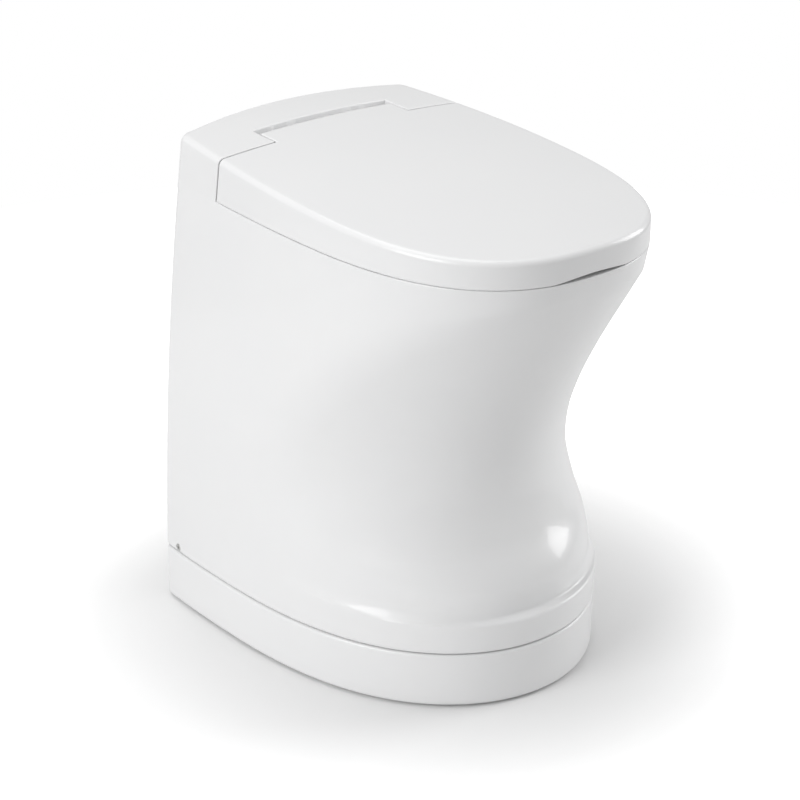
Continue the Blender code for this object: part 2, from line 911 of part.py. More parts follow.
def make_feet(rubber):
    words = ("front_left", "front_right", "rear_left", "rear_right")
    for word, (x, y) in zip(words, foot_places()):
        rise = foot_height + tray_floor + foot_peg_rise
        profile = [(0, 0), (foot_radius, 0), (foot_radius, foot_height)]
        profile += [(foot_peg_radius, foot_height), (foot_peg_radius, rise), (0, rise)]
        piece(f"foot_{word}", along(turned(profile, small_steps), "Z", (x, y, 0)), rubber)


# Lid, seat and hinge


def tongue_form():
    """The sheet over the hinge, rolled down behind it, which closes the deck's pocket."""
    loops = []
    front = ear_y - 3 * lid_wall
    flush = ear_y - 2 * ear_gap
    for i in range(7):
        x = between(-tongue_half_width, tongue_half_width, i / 6)
        radius = tongue_radius(x)
        outer = [(front, dome(x, front) - lid_wall / 2), (flush, dome(x, flush) - piece_gap / 2)]
        outer += arc_points(radius, 90, 0, 7)
        inner = arc_points(radius - lid_wall, 0, 90, 7) + [(front, dome(x, front) - lid_wall)]
        loops.append([(x, y, z) for y, z in outer + inner])
    return loft(loops)


def drill_hinge(item, side):
    reach = seat_knuckle_inner + knuckle_width
    length = reach - lid_knuckle_inner + 2 * knuckle_clearance
    bore = disc(hinge_pin_radius + hinge_bore_clearance, 0, length, small_steps)
    start = lid_knuckle_inner - knuckle_clearance
    cut(item, along(bore, "X", (min(side * start, side * (reach + knuckle_clearance)), hinge_y, hinge_z)))


def make_lid(white):
    lid = piece("lid", body_form(seam_height + seam_gap), origin=(0, hinge_y, hinge_z))
    keep(lid, lid_region(-ear_gap, seam_height))
    hollow = piece("hollow", body_form(seam_height, lid_wall))
    keep(hollow, lid_region(lid_wall, seam_height - overrun))
    cut(lid, cavity_mesh(hollow))
    join(lid, tongue_form())
    front = ear_y - 3 * lid_wall
    web_top = tongue_radius(tongue_half_width) + hinge_z - lid_wall / 2
    web = [(front, web_top), (front, web_top - lid_wall)]
    web_back = [(hinge_y + knuckle_radius * 0.9, hinge_z + knuckle_radius / 2), (hinge_y, web_top)]
    for side in (-1, 1):
        ends = sorted((side * lid_knuckle_inner, side * (lid_knuckle_inner + knuckle_width)))
        outline = web_back + web + arc_points(knuckle_radius, 215, 390, 10)
        join(lid, prism(outline, *ends, "X"))
        drill_hinge(lid, side)
    cut(lid, finger_notch())
    dress(lid, white)


def finger_notch():
    """The low arch in the skirt's front edge that fingers lift the lid by."""
    steps = 10
    outline = []
    for i in range(steps + 1):
        x = between(-notch_half_width, notch_half_width, i / steps)
        rise = notch_height * math.cos(math.pi / 2 * x / notch_half_width)
        outline.append((x, seam_height + seam_gap + rise))
    outline += [(notch_half_width, seam_height - overrun), (-notch_half_width, seam_height - overrun)]
    return prism(outline, seam_front_y - overrun, seam_front_y + finger_notch_depth, "Y")


def seat_outline():
    """Plan of the seat's outer edge, a little inside the lid's skirt."""
    skirt = half_outline(seam_height, lid_wall + seat_edge_gap)
    front = [(x, y) for x, y in skirt if y < seat_rear_y - seat_corner_radius]
    points = []
    corner_x = front[0][0] - seat_corner_radius
    for i in range(5):
        angle = math.pi / 2 * (1 - i / 4)
        y = seat_rear_y + seat_corner_radius * (math.sin(angle) - 1)
        points.append((corner_x + seat_corner_radius * math.cos(angle), y))
    half = [(0, seat_rear_y)] + points + front
    return full_ring(half)


def ray_reach(outline, centre_y, angle):
    """How far an outline lies from a centre on the middle line, in one direction."""
    direction = Vector((math.cos(angle), math.sin(angle)))
    best = 0.0
    for (x0, y0), (x1, y1) in zip(outline, outline[1:] + outline[:1]):
        start, edge = Vector((x0, y0 - centre_y)), Vector((x1 - x0, y1 - y0))
        cross = direction.cross(edge)
        if abs(cross) <= tiny_share * edge.length:
            continue
        share = start.cross(direction) / cross
        reach = start.cross(edge) / cross
        if -tiny_share <= share <= 1 + tiny_share:
            best = max(best, reach)
    return best


def make_seat(white):
    outline = seat_outline()
    hole = oval(seat_hole_half_x, seat_hole_half_y, seat_hole_y, 2.1, 60)
    section_shares = ((1, 0), (1, 0.55), (0.93, 0.85), (0.62, 1), (0.3, 0.97), (0.08, 0.7), (0, 0.3), (0, 0))
    loops = []
    for share, rise in section_shares:
        loop = []
        for i in range(seat_steps):
            angle = 2 * math.pi * i / seat_steps
            inner = ray_reach(hole, seat_hole_y, angle)
            outer = ray_reach(outline, seat_hole_y, angle)
            reach = between(inner, outer, share)
            height = seat_bottom + seat_crown_height * rise
            loop.append((reach * math.cos(angle), seat_hole_y + reach * math.sin(angle), height))
        loops.append(loop)
    seat = piece("seat", loft(loops, ring=True), origin=(0, hinge_y, hinge_z))
    back = seat_rear_y - seat_corner_radius / 2
    top = seat_bottom + seat_edge_height
    for side in (-1, 1):
        ends = sorted((side * seat_knuckle_inner, side * (seat_knuckle_inner + knuckle_width)))
        outline = [(back, seat_bottom), (seat_rear_y + seat_corner_radius / 2, seat_bottom)]
        outline += arc_points(knuckle_radius, -70, 115, 10) + [(back, top)]
        join(seat, prism(outline, *ends, "X"))
        drill_hinge(seat, side)
    dress(seat, white)


def make_hinge_pins(steel):
    head_x = pocket_half_width + wall + piece_gap
    for side, word in ((-1, "left"), (1, "right")):
        profile = [(0, lid_knuckle_inner), (hinge_pin_radius, lid_knuckle_inner), (hinge_pin_radius, head_x)]
        profile += [(hinge_pin_head_radius, head_x), (hinge_pin_head_radius, head_x + hinge_pin_radius)]
        profile += [(0, head_x + hinge_pin_radius)]
        mesh = turned([(r, side * h) for r, h in profile], small_steps)
        piece(f"hinge_pin_{word}", along(mesh, "X", (0, hinge_y, hinge_z)), steel)


def make_buffers(rubber):
    top = seat_bottom - piece_gap
    low = seam_height + piece_gap
    for y, place in ((buffer_front_y, "front"), (buffer_rear_y, "rear")):
        for side, word in ((-1, "left"), (1, "right")):
            centre = (side * buffer_half_spacing_x, y, 0)
            mesh = along(disc(buffer_radius, low, top, small_steps), "Z", centre)
            piece(f"seat_buffer_{place}_{word}", mesh, rubber)
    for side, word in ((-1, "left"), (1, "right")):
        centre = (side * lid_buffer_half_spacing_x, lid_buffer_y, 0)
        low = seat_bottom + seat_crown_height + piece_gap
        mesh = along(disc(lid_buffer_radius, low, top_height, small_steps), "Z", centre)
        pad = piece(f"lid_buffer_{word}", mesh)
        keep(pad, body_form(seam_height, lid_wall + piece_gap))
        dress(pad, rubber)


# Bowl and flaps


def bowl_loops(offset, level_shares):
    """Level loops of the bowl's wall, from its oval mouth down to its squarer throat."""
    loops = []
    for drop_share, blend_share in level_shares:
        height = between(seam_height, throat_top, drop_share)
        half_x = between(bowl_half_x, throat_half_x, blend_share) + offset
        half_y = between(bowl_half_y, throat_half_y, blend_share) + offset
        centre = between(bowl_y, throat_y, blend_share)
        power = between(2, 4, blend_share)
        loops.append(at_height(oval(half_x, half_y, centre, power, bowl_steps), height))
    return loops


def make_bowl(steel):
    low = seam_height + piece_gap
    top = low + bowl_sheet
    rim_x, rim_y = bowl_half_x + bowl_rim_width, bowl_half_y + bowl_rim_width
    level_shares = ((0.12, 0.03), (0.3, 0.13), (0.5, 0.3), (0.7, 0.54), (0.87, 0.8), (0.98, 1))
    rim = oval(rim_x, rim_y, bowl_y, 2, bowl_steps)
    mouth = oval(bowl_half_x - bowl_sheet, bowl_half_y - bowl_sheet, bowl_y, 2, bowl_steps)
    outer_mouth = oval(bowl_half_x, bowl_half_y, bowl_y, 2, bowl_steps)
    foot_x, foot_y = throat_half_x + throat_rim_width, throat_half_y + throat_rim_width
    foot_outer = oval(foot_x, foot_y, throat_y, 4, bowl_steps)
    foot_inner = oval(throat_half_x, throat_half_y, throat_y, 4, bowl_steps)
    neck = oval(throat_half_x + bowl_sheet, throat_half_y + bowl_sheet, throat_y, 4, bowl_steps)
    loops = [at_height(rim, low), at_height(rim, top), at_height(mouth, top)]
    loops += bowl_loops(0, level_shares)
    loops.append(at_height(foot_inner, throat_top))
    loops += [at_height(foot_outer, throat_top), at_height(foot_outer, throat_top + bowl_sheet)]
    loops.append(at_height(neck, throat_top + bowl_sheet))
    loops += bowl_loops(bowl_sheet, level_shares[-2::-1])
    loops.append(at_height(outer_mouth, low))
    piece("bowl", loft(loops, ring=True), steel)


def make_throat(steel, rubber):
    low = throat_plate_top + piece_gap
    high = throat_top - piece_gap
    outer = oval(throat_half_x + throat_rim_width, throat_half_y + throat_rim_width, throat_y, 4, bowl_steps)
    inner = oval(throat_half_x + bowl_sheet, throat_half_y + bowl_sheet, throat_y, 4, bowl_steps)
    loops = [at_height(outer, low), at_height(outer, high), at_height(inner, high), at_height(inner, low)]
    piece("throat_seal", loft(loops, ring=True), rubber)
    half_x = chamber_half_x + chamber_rim_width
    half_y = chamber_half_y + chamber_rim_width
    bottom = throat_plate_top - plate_sheet
    corner = chamber_corner / 2
    outline = round_rect(half_x, half_y, corner, chamber_y)
    plate = piece("throat_plate", prism(outline, bottom, throat_plate_top))
    hole = round_rect(throat_half_x + bowl_sheet, throat_half_y + bowl_sheet, throat_rim_width, throat_y)
    cut(plate, prism(hole, bottom - overrun, throat_plate_top + overrun))
    for side in (-1, 1):
        for end in (-1, 1):
            near = throat_y + end * (flap_half_length + lug_gap)
            far = near + end * lug_thickness
            x = side * flap_axis_x
            low_corner = (x - lug_half_width, min(near, far), flap_axis_z - barrel_radius)
            lug_top = throat_plate_top - plate_sheet / 2
            join(plate, box(low_corner, (x + lug_half_width, max(near, far), lug_top)))
        ends = (throat_y - chamber_half_y, throat_y + chamber_half_y)
        bore = disc(shaft_radius + shaft_clearance, *ends, small_steps)
        cut(plate, along(bore, "Y", (side * flap_axis_x, 0, flap_axis_z)))
    dress(plate, steel)


def make_flap(side, word, steel):
    """A curved leaf on a barrel. It hangs on its shaft and meets the other leaf in the middle."""
    reach = flap_axis_x - flap_meeting_gap / 2
    top, bottom = [], []
    for i in range(6):
        distance = between(barrel_radius / 2, reach, i / 5)
        x = flap_axis_x - distance
        sag = flap_sag * (distance / reach) ** 0.7
        top.append((side * x, flap_axis_z + barrel_radius * 0.6 - sag))
        bottom.append((side * x, flap_axis_z + barrel_radius * 0.6 - sag - flap_sheet))
    low, high = throat_y - flap_half_length, throat_y + flap_half_length
    origin = (side * flap_axis_x, throat_y, flap_axis_z)
    barrel = along(disc(barrel_radius, low, high, small_steps), "Y", (side * flap_axis_x, 0, flap_axis_z))
    flap = piece(f"flap_{word}", barrel, origin=origin)
    join(flap, prism(top + bottom[::-1], low, high, "Y"))
    bore = disc(shaft_radius + shaft_clearance, low - overrun, high + overrun, small_steps)
    cut(flap, along(bore, "Y", (side * flap_axis_x, 0, flap_axis_z)))
    dress(flap, steel)


def shaft_ends():
    front = throat_y - flap_half_length - lug_gap - lug_thickness
    return front - plate_sheet, drive_plate_y + 2 * plate_sheet


def make_flap_shaft(side, word, steel):
    low, high = shaft_ends()
    origin = (side * flap_axis_x, throat_y, flap_axis_z)
    mesh = along(disc(shaft_radius, low, high, small_steps), "Y", (side * flap_axis_x, 0, flap_axis_z))
    piece(f"flap_shaft_{word}", mesh, steel, origin)


def gear_outline(phase):
    """A spur gear seen along its axis, with involute flanks taken in a few steps."""
    pitch = gear_module * gear_teeth / 2
    base = pitch * math.cos(math.radians(20))
    outer = pitch + gear_module
    root = pitch - gear_module - gear_root_clearance

    def roll(radius):
        cosine = min(base / radius, 1)
        return math.tan(math.acos(cosine)) - math.acos(cosine)

    half = (math.pi * gear_module / 2 - gear_backlash) / (2 * pitch) + roll(pitch)
    points = []
    for tooth in range(gear_teeth):
        centre = phase + 2 * math.pi * tooth / gear_teeth
        flank = [(radius, half - roll(radius)) for radius in (root, pitch, outer)]
        for radius, angle in [(r, -a) for r, a in flank] + flank[::-1]:
            points.append((radius * math.cos(centre + angle), radius * math.sin(centre + angle)))
    return points


def make_gear(name, x, phase, bore_radius, metal):
    """A gear in the train across the back of the chamber, with its origin on its axis."""
    high = gear_front_y + gear_width
    mesh = prism(gear_outline(phase), gear_front_y, high, "Y")
    bmesh.ops.translate(mesh, vec=(x, 0, flap_axis_z), verts=mesh.verts)
    gear = piece(name, mesh, origin=(x, gear_front_y, flap_axis_z))
    if bore_radius:
        bore = disc(bore_radius + shaft_clearance, gear_front_y - overrun, high + overrun, small_steps)
        cut(gear, along(bore, "Y", (x, 0, flap_axis_z)))
    else:
        low = gear_front_y - piece_gap
        end = drive_plate_y + plate_sheet + flap_motor_socket - piece_gap
        join(gear, along(disc(motor_shaft_radius, low, end, small_steps), "Y", (x, 0, flap_axis_z)))
    dress(gear, metal)


def gear_places():
    """Axis places of the four gears, evenly spaced, each a pitch diameter from the next."""
    spacing = 2 * flap_axis_x / 3
    return [-flap_axis_x + i * spacing for i in range(4)]


def make_flap_drive(steel, brass, dark):
    xs = gear_places()
    tooth = math.pi / gear_teeth
    make_gear("flap_gear_left", xs[0], 0, shaft_radius, brass)
    make_gear("drive_gear", xs[1], tooth, 0, brass)
    make_gear("idler_gear", xs[2], 0, idler_pin_radius, brass)
    make_gear("flap_gear_right", xs[3], tooth, shaft_radius, brass)
    back = drive_plate_y + plate_sheet
    low, high = drive_plate_bottom, throat_plate_top + piece_gap + plate_sheet
    half = drive_plate_half_width + drive_tab_width
    plate = piece("drive_plate", box((-half, drive_plate_y, low), (half, back, high)))
    rest = throat_plate_top + piece_gap
    for side in (-1, 1):
        ends = sorted((side * half, side * (half - 2 * drive_tab_width)))
        front = chamber_y + chamber_half_y + chamber_rim_width - 2 * drive_tab_width
        join(plate, box((ends[0], front, rest), (ends[1], back, high)))
        bore = disc(shaft_radius + shaft_clearance, 0, drive_plate_y + overrun, small_steps)
        cut(plate, along(bore, "Y", (side * flap_axis_x, 0, flap_axis_z)))
    for x, radius in ((xs[1], motor_shaft_radius), (xs[2], idler_pin_radius)):
        bore = disc(radius + shaft_clearance, 0, drive_plate_y + overrun, small_steps)
        cut(plate, along(bore, "Y", (x, 0, flap_axis_z)))
    dress(plate, steel)
    profile = [(0, gear_front_y - piece_gap), (idler_pin_radius, gear_front_y - piece_gap)]
    profile += [(idler_pin_radius, back + piece_gap), (idler_pin_radius * 1.6, back + piece_gap)]
    profile += [(idler_pin_radius * 1.6, back + plate_sheet), (0, back + plate_sheet)]
    piece("idler_pin", along(turned(profile, small_steps), "Y", (xs[2], 0, flap_axis_z)), steel)
    start = back + piece_gap
    end = start + flap_motor_length
    socket = motor_shaft_radius + shaft_clearance
    profile = [(0, start + flap_motor_socket), (socket, start + flap_motor_socket), (socket, start)]
    profile += [(flap_motor_radius, start), (flap_motor_radius, end), (0, end)]
    piece("flap_motor", along(turned(profile, turn_steps), "Y", (xs[1], 0, flap_axis_z)), dark)


# Chamber


def chamber_loops(offset, low, high):
    """The chamber's outline: a pan well below, a taper, and a wider box above."""
    loops = []
    for height in (low, taper_bottom, taper_top, high):
        if height > taper_bottom:
            half_x, half_y, corner = chamber_half_x, chamber_half_y, chamber_corner
        else:
            half_x, half_y, corner = well_half_x, well_half_y, well_corner
        plan = round_rect(half_x + offset, half_y + offset, corner + offset, chamber_y)
        loops.append(at_height(plan, height))
    return loops


def rear_ports():
    """Holes through the chamber's rear wall and its jacket: (radius, x, z)."""
    shaft = shaft_radius + 3 * shaft_clearance
    bush = bush_radius + bush_clearance
    ports = [(shaft, side * flap_axis_x, flap_axis_z) for side in (-1, 1)]
    ports.append((bush, -heater_tail_x, heater_bottom))
    ports.append((bush, heater_tail_x, heater_bottom + 3 * heater_pitch))
    ports.append((sensor_radius + shaft_clearance, sensor_x, sensor_z))
    return ports


def make_chamber(steel, wool):
    chamber = piece("chamber", loft(chamber_loops(chamber_sheet, chamber_floor, chamber_top)))
    rim = round_rect(
        chamber_half_x + chamber_rim_width, chamber_half_y + chamber_rim_width, chamber_corner / 2, chamber_y
    )
    join(chamber, prism(rim, chamber_top, chamber_top + plate_sheet))
    inner = chamber_loops(0, chamber_floor + chamber_sheet, chamber_top + overrun)
    cut(chamber, loft(inner))
    jacket_top = chamber_top - jacket_top_gap
    low_offset = chamber_sheet + piece_gap
    jacket_loops = chamber_loops(low_offset + jacket_thickness, jacket_bottom, jacket_top)
    jacket = piece("insulation_jacket", loft(jacket_loops))
    cut(jacket, loft(chamber_loops(low_offset, jacket_bottom - overrun, jacket_top + overrun)))
    duct_clearance = duct_sheet + piece_gap + catalyst_radius - port_radius + piece_gap
    for item, clearance in ((chamber, 0), (jacket, duct_clearance)):
        port = disc(port_radius + clearance, 0, 2 * spigot_radius, turn_steps)
        cut(item, along(port, "Y", (0, 0, exhaust_z)))
        for radius, x, z in rear_ports():
            cut(item, along(disc(radius, 0, 2 * spigot_radius, small_steps), "Y", (x, 0, z)))
        for side in (-1, 1):
            front = disc(shaft_radius + 3 * shaft_clearance, -2 * spigot_radius, 0, small_steps)
            cut(item, along(front, "Y", (side * flap_axis_x, chamber_y, flap_axis_z)))
    dress(chamber, steel)
    dress(jacket, wool)


def make_stand(steel):
    high = chamber_floor - piece_gap
    low = foot_height + 2 * piece_gap + tray_floor
    plan = round_rect(stand_half_x, stand_half_y, stand_leg / 2, chamber_y)
    stand = piece("chamber_stand", prism(plan, high - stand_sheet, high))
    for sx in (-1, 1):
        for sy in (-1, 1):
            x = sorted((sx * stand_half_x, sx * (stand_half_x - stand_leg)))
            y = sorted((chamber_y + sy * stand_half_y, chamber_y + sy * (stand_half_y - stand_leg)))
            inset = stand_leg / 4
            corner = (x[0] + inset, y[0] + inset, low)
            join(stand, box(corner, (x[1] - inset, y[1] - inset, high - stand_sheet / 2)))
    dress(stand, steel)


def heater_route():
    """Three turns round the inside of the chamber, with both tails out through its back."""
    plan = round_rect(heater_half_x, heater_half_y, heater_corner, chamber_y)
    back_y = chamber_y + heater_half_y
    bend = 3 * heater_radius
    start = next(i for i, (x, y) in enumerate(plan) if x < 0 and abs(y - back_y) < piece_gap)
    loop = plan[start:] + plan[:start]
    turns = 3
    steps = turns * len(loop)
    points = [(-heater_tail_x, heater_end_y, heater_bottom), (-heater_tail_x, back_y + bend, heater_bottom)]
    first = (-heater_tail_x, back_y + bend / 3, heater_bottom)
    points.append(first)
    top = heater_bottom + turns * heater_pitch
    for i in range(steps):
        x, y = loop[i % len(loop)]
        points.append((x, y, between(heater_bottom, top, (i + 1) / (steps + 1))))
    points.append((heater_tail_x, back_y + bend / 3, top))
    points.append((heater_tail_x, back_y + bend, top))
    points.append((heater_tail_x, heater_end_y, top))
    return points


def wire(name, points, radius, material, resolution=1, origin=(0, 0, 0)):
    """A round wire bent along points."""
    data = bpy.data.curves.new(name, "CURVE")
    data.dimensions = "3D"
    data.bevel_depth = radius
    data.bevel_resolution = resolution
    data.use_fill_caps = True
    spline = data.splines.new("POLY")
    spline.points.add(len(points) - 1)
    for knot, point in zip(spline.points, points):
        knot.co = (*(Vector(point) - Vector(origin)), 1)
    item = bpy.data.objects.new(name, data)
    item.location = origin
    bpy.context.scene.collection.objects.link(item)
    data.materials.append(material)
    return item


def make_heater(blackened, ceramic, steel):
    wire("heating_element", heater_route(), heater_radius, blackened)
    inner = heater_radius + bush_clearance
    for side, word in ((-1, "left"), (1, "right")):
        height = heater_bottom if side < 0 else heater_bottom + 3 * heater_pitch
        mesh = tube(inner, bush_radius, bush_inner_y, bush_outer_y, small_steps)
        piece(f"heater_bush_{word}", along(mesh, "Y", (side * heater_tail_x, 0, height)), ceramic)
    jacket_y = chamber_y + chamber_half_y + chamber_sheet + piece_gap + jacket_thickness
    seat = jacket_y + piece_gap
    nut_end = seat + sensor_nut_length
    profile = [(0, sensor_tip_y), (sensor_radius, sensor_tip_y), (sensor_radius, seat)]
    profile += [(sensor_nut_radius, seat), (sensor_nut_radius, nut_end), (sensor_radius, nut_end)]
    profile += [(sensor_radius, nut_end + sensor_tail), (0, nut_end + sensor_tail)]
    piece("temperature_sensor", along(turned(profile, small_steps), "Y", (sensor_x, 0, sensor_z)), steel)


def pan_bottom():
    return chamber_floor + chamber_sheet + piece_gap


def make_ash_pan(steel):
    low = pan_bottom()
    high = low + pan_height
    outer = round_rect(pan_half_x, pan_half_y, pan_corner, chamber_y)
    inner = round_rect(pan_half_x - pan_sheet, pan_half_y - pan_sheet, pan_corner - pan_sheet, chamber_y)
    pan = piece("ash_pan", prism(outer, low, high), origin=(0, chamber_y, low))
    cut(pan, prism(inner, low + pan_sheet, high + overrun))
    axis_z = high - bail_drop
    bore = disc(bail_radius + bail_clearance, -2 * pan_half_x, 2 * pan_half_x, small_steps)
    cut(pan, along(bore, "X", (0, chamber_y, axis_z)))
    dress(pan, steel)
    inset = pan_half_x - pan_sheet - bail_radius - bail_side_gap
    end = pan_half_x + bail_end_gap / 2
    far = chamber_y + pan_half_y - pan_sheet - bail_radius - bail_side_gap
    points = [(-end, chamber_y), (-inset, chamber_y)]
    for i in range(5):
        angle = math.pi - math.pi / 2 * i / 4
        x = -inset + bail_corner + bail_corner * math.cos(angle)
        points.append((x, far - bail_corner + bail_corner * math.sin(angle)))
    points += [(-x, y) for x, y in points[::-1]]
    route = [(x, y, axis_z) for x, y in points]
    wire("ash_pan_handle", route, bail_radius, steel, resolution=1, origin=(0, chamber_y, axis_z))


# Exhaust line


def about_exhaust(mesh, x=0.0):
    return along(mesh, "Y", (x, 0, exhaust_z))


def make_exhaust(steel, ceramic, blackened):
    chamber_back = chamber_y + chamber_half_y + chamber_sheet + piece_gap
    inner = catalyst_radius + piece_gap
    outer = inner + duct_sheet
    flange_y = fan_front_y - piece_gap
    profile = [(inner, chamber_back), (outer, chamber_back), (outer, flange_y - fan_sheet)]
    profile += [(duct_flange_radius, flange_y - fan_sheet), (duct_flange_radius, flange_y), (inner, flange_y)]
    piece("catalyst_housing", about_exhaust(turned(profile, turn_steps, ring=True)), steel)
    end = catalyst_front_y + catalyst_length
    block = piece("catalyst", about_exhaust(disc(catalyst_radius, catalyst_front_y, end, turn_steps)))
    places = [(0, 0)]
    for i in range(catalyst_holes):
        angle = 2 * math.pi * i / catalyst_holes
        places.append((catalyst_hole_ring * math.cos(angle), catalyst_hole_ring * math.sin(angle)))
    for x, z in places:
        hole = disc(catalyst_hole_radius, catalyst_front_y - overrun, end + overrun, 8)
        cut(block, along(hole, "Y", (x, 0, exhaust_z + z)))
    dress(block, ceramic)
    inside = fan_radius - fan_sheet
    profile = [(fan_eye_radius, fan_front_y), (fan_radius, fan_front_y), (fan_radius, fan_back_y)]
    front_inside = fan_front_y + fan_sheet
    profile += [(inside, fan_back_y), (inside, front_inside), (fan_eye_radius, front_inside)]
    piece("fan_housing", about_exhaust(turned(profile, turn_steps, ring=True)), steel)
    start = fan_back_y + piece_gap
    bore = spigot_radius - spigot_wall
    profile = [(bore, start), (fan_radius, start), (fan_radius, start + spigot_flange)]
    profile += [(spigot_radius, start + spigot_flange), (spigot_radius, spigot_end_y), (bore, spigot_end_y)]
    piece("flue_spigot", about_exhaust(turned(profile, turn_steps, ring=True)), steel)
    make_impeller(steel)
    make_fan_motor(blackened)
    make_fan_post(steel)


def make_impeller(steel):
    """A back plate with leaned blades, on a hub whose shaft runs into the motor."""
    back = impeller_front_y + impeller_length
    shaft_end = back + impeller_plate + fan_motor_gap + fan_motor_socket - piece_gap
    hub = [(0, impeller_front_y), (impeller_hub_radius, impeller_front_y), (impeller_hub_radius, back)]
    hub += [(impeller_radius, back), (impeller_radius, back + impeller_plate)]
    hub += [(fan_shaft_radius, back + impeller_plate), (fan_shaft_radius, shaft_end), (0, shaft_end)]
    origin = (0, impeller_front_y, exhaust_z)
    wheel = piece("fan_impeller", about_exhaust(turned(hub, turn_steps)), origin=origin)
    for i in range(impeller_blades):
        lean = blade_thickness / 2
        shift = impeller_radius * blade_lean_share / 2
        outline = [(impeller_eye_radius, -lean), (impeller_radius, shift - lean)]
        outline += [(impeller_radius, shift + lean), (impeller_eye_radius, lean)]
        reach = math.hypot(impeller_radius, shift + lean) / (impeller_radius - impeller_plate / 2)
        outline = [(u / reach, v / reach) for u, v in outline]
        blade = prism(outline, impeller_front_y, back + impeller_plate / 2, "Y")
        turn_about_y(blade, 2 * math.pi * i / impeller_blades)
        join(wheel, place_blade(blade))
    dress(wheel, steel)


def place_blade(blade):
    bmesh.ops.translate(blade, vec=(0, 0, exhaust_z), verts=blade.verts)
    return blade


def make_fan_motor(blackened):
    """A can held in the middle of the air path by arms that reach the housing."""
    start = impeller_front_y + impeller_length + impeller_plate + fan_motor_gap
    end = start + fan_motor_length
    socket = fan_shaft_radius + shaft_clearance
    profile = [(0, start + fan_motor_socket), (socket, start + fan_motor_socket), (socket, start)]
    profile += [(fan_motor_radius, start), (fan_motor_radius, end), (0, end)]
    motor = piece("fan_motor", about_exhaust(turned(profile, turn_steps)))
    reach = (fan_radius - fan_sheet) * math.cos(math.pi / turn_steps) - 2 * piece_gap
    for i in range(motor_arms):
        half = motor_arm_width / 2
        root = fan_motor_radius / 2
        outline = [(root, -half), (reach, -half / 4), (reach, half / 4), (root, half)]
        arm = prism(outline, end - motor_arm_width, end - motor_arm_width / 2, "Y")
        turn_about_y(arm, math.pi / 2 + 2 * math.pi * i / motor_arms)
        join(motor, place_blade(arm))
    dress(motor, blackened)


def make_fan_post(steel):
    low = foot_height + 2 * piece_gap + tray_floor
    middle = (fan_front_y + fan_back_y) / 2
    top = exhaust_z - fan_radius + fan_post_cradle
    near, far = middle - fan_post_depth / 2, middle + fan_post_depth / 2
    post = piece("fan_bracket", box((-fan_post_half_width, near, low), (fan_post_half_width, far, top)))
    cradle = disc(fan_radius + piece_gap, near - overrun, far + overrun, turn_steps)
    cut(post, about_exhaust(cradle))
    hollow = fan_post_half_width - 3 * plate_sheet
    window_top = top - 2 * fan_post_cradle
    cut(post, box((-hollow, near - overrun, low + 3 * plate_sheet), (hollow, far + overrun, window_top)))
    dress(post, steel)


# Controls and power


def make_controls(white, dark, lens, board_green):
    place = (button_x, button_y, 0)
    step = button_radius / 6
    profile = [(0, button_stem_bottom), (button_stem_radius, button_stem_bottom)]
    profile += [(button_stem_radius, button_bottom), (button_radius, button_bottom)]
    profile += [(button_radius, button_top - step), (button_radius - step, button_top)]
    profile.append((0, button_top - step / 2))
    mesh = along(turned(profile, turn_steps), "Z", place)
    piece("start_button", mesh, dark, (button_x, button_y, button_top))
    inner = button_radius + bezel_clearance
    sleeve = inner + bezel_sleeve
    seat = seam_height + piece_gap
    profile = [(inner, seam_height - top_plate), (sleeve, seam_height - top_plate), (sleeve, seat)]
    rise = seat + bezel_height
    profile += [(bezel_radius, seat), (bezel_radius - step, rise), (inner, rise)]
    piece("button_bezel", along(turned(profile, turn_steps, ring=True), "Z", place), white)
    profile = [(0, seam_height - lens_tail), (lens_radius, seam_height - lens_tail), (lens_radius, seat)]
    profile += [(lens_rim_radius, seat), (lens_radius, seat + lens_rim_height), (0, seat + lens_rim_height)]
    piece("indicator_lens", along(turned(profile, small_steps), "Z", (lens_x, button_y, 0)), lens)
    top = seam_height - top_plate - piece_gap
    shell = piece("control_box", box((box_low_x, box_low_y, box_bottom), (box_high_x, box_high_y, top)))
    low = (box_low_x + box_sheet, box_low_y + box_sheet, box_bottom + box_sheet)
    cut(shell, box(low, (box_high_x - box_sheet, box_high_y - box_sheet, top + overrun)))
    dress(shell, dark)
    floor = box_bottom + box_sheet + piece_gap
    rest = floor + board_rest
    edge = box_sheet + board_gap
    corner = (box_low_x + edge, box_low_y + edge, rest)
    board = piece("control_board", box(corner, (box_high_x - edge, box_high_y - edge, rest + board_sheet)))
    for x in (corner[0] + board_rest, box_high_x - edge - board_rest):
        far = (x + board_gap, box_high_y - edge, rest + board_sheet / 2)
        post = box((x - board_gap, corner[1], floor), far)
        join(board, post)
    half = switch_half_width
    switch = (button_x - half, button_y - half, rest + board_sheet / 2)
    join(board, box(switch, (button_x + half, button_y + half, switch_top)))
    dress(board, board_green)


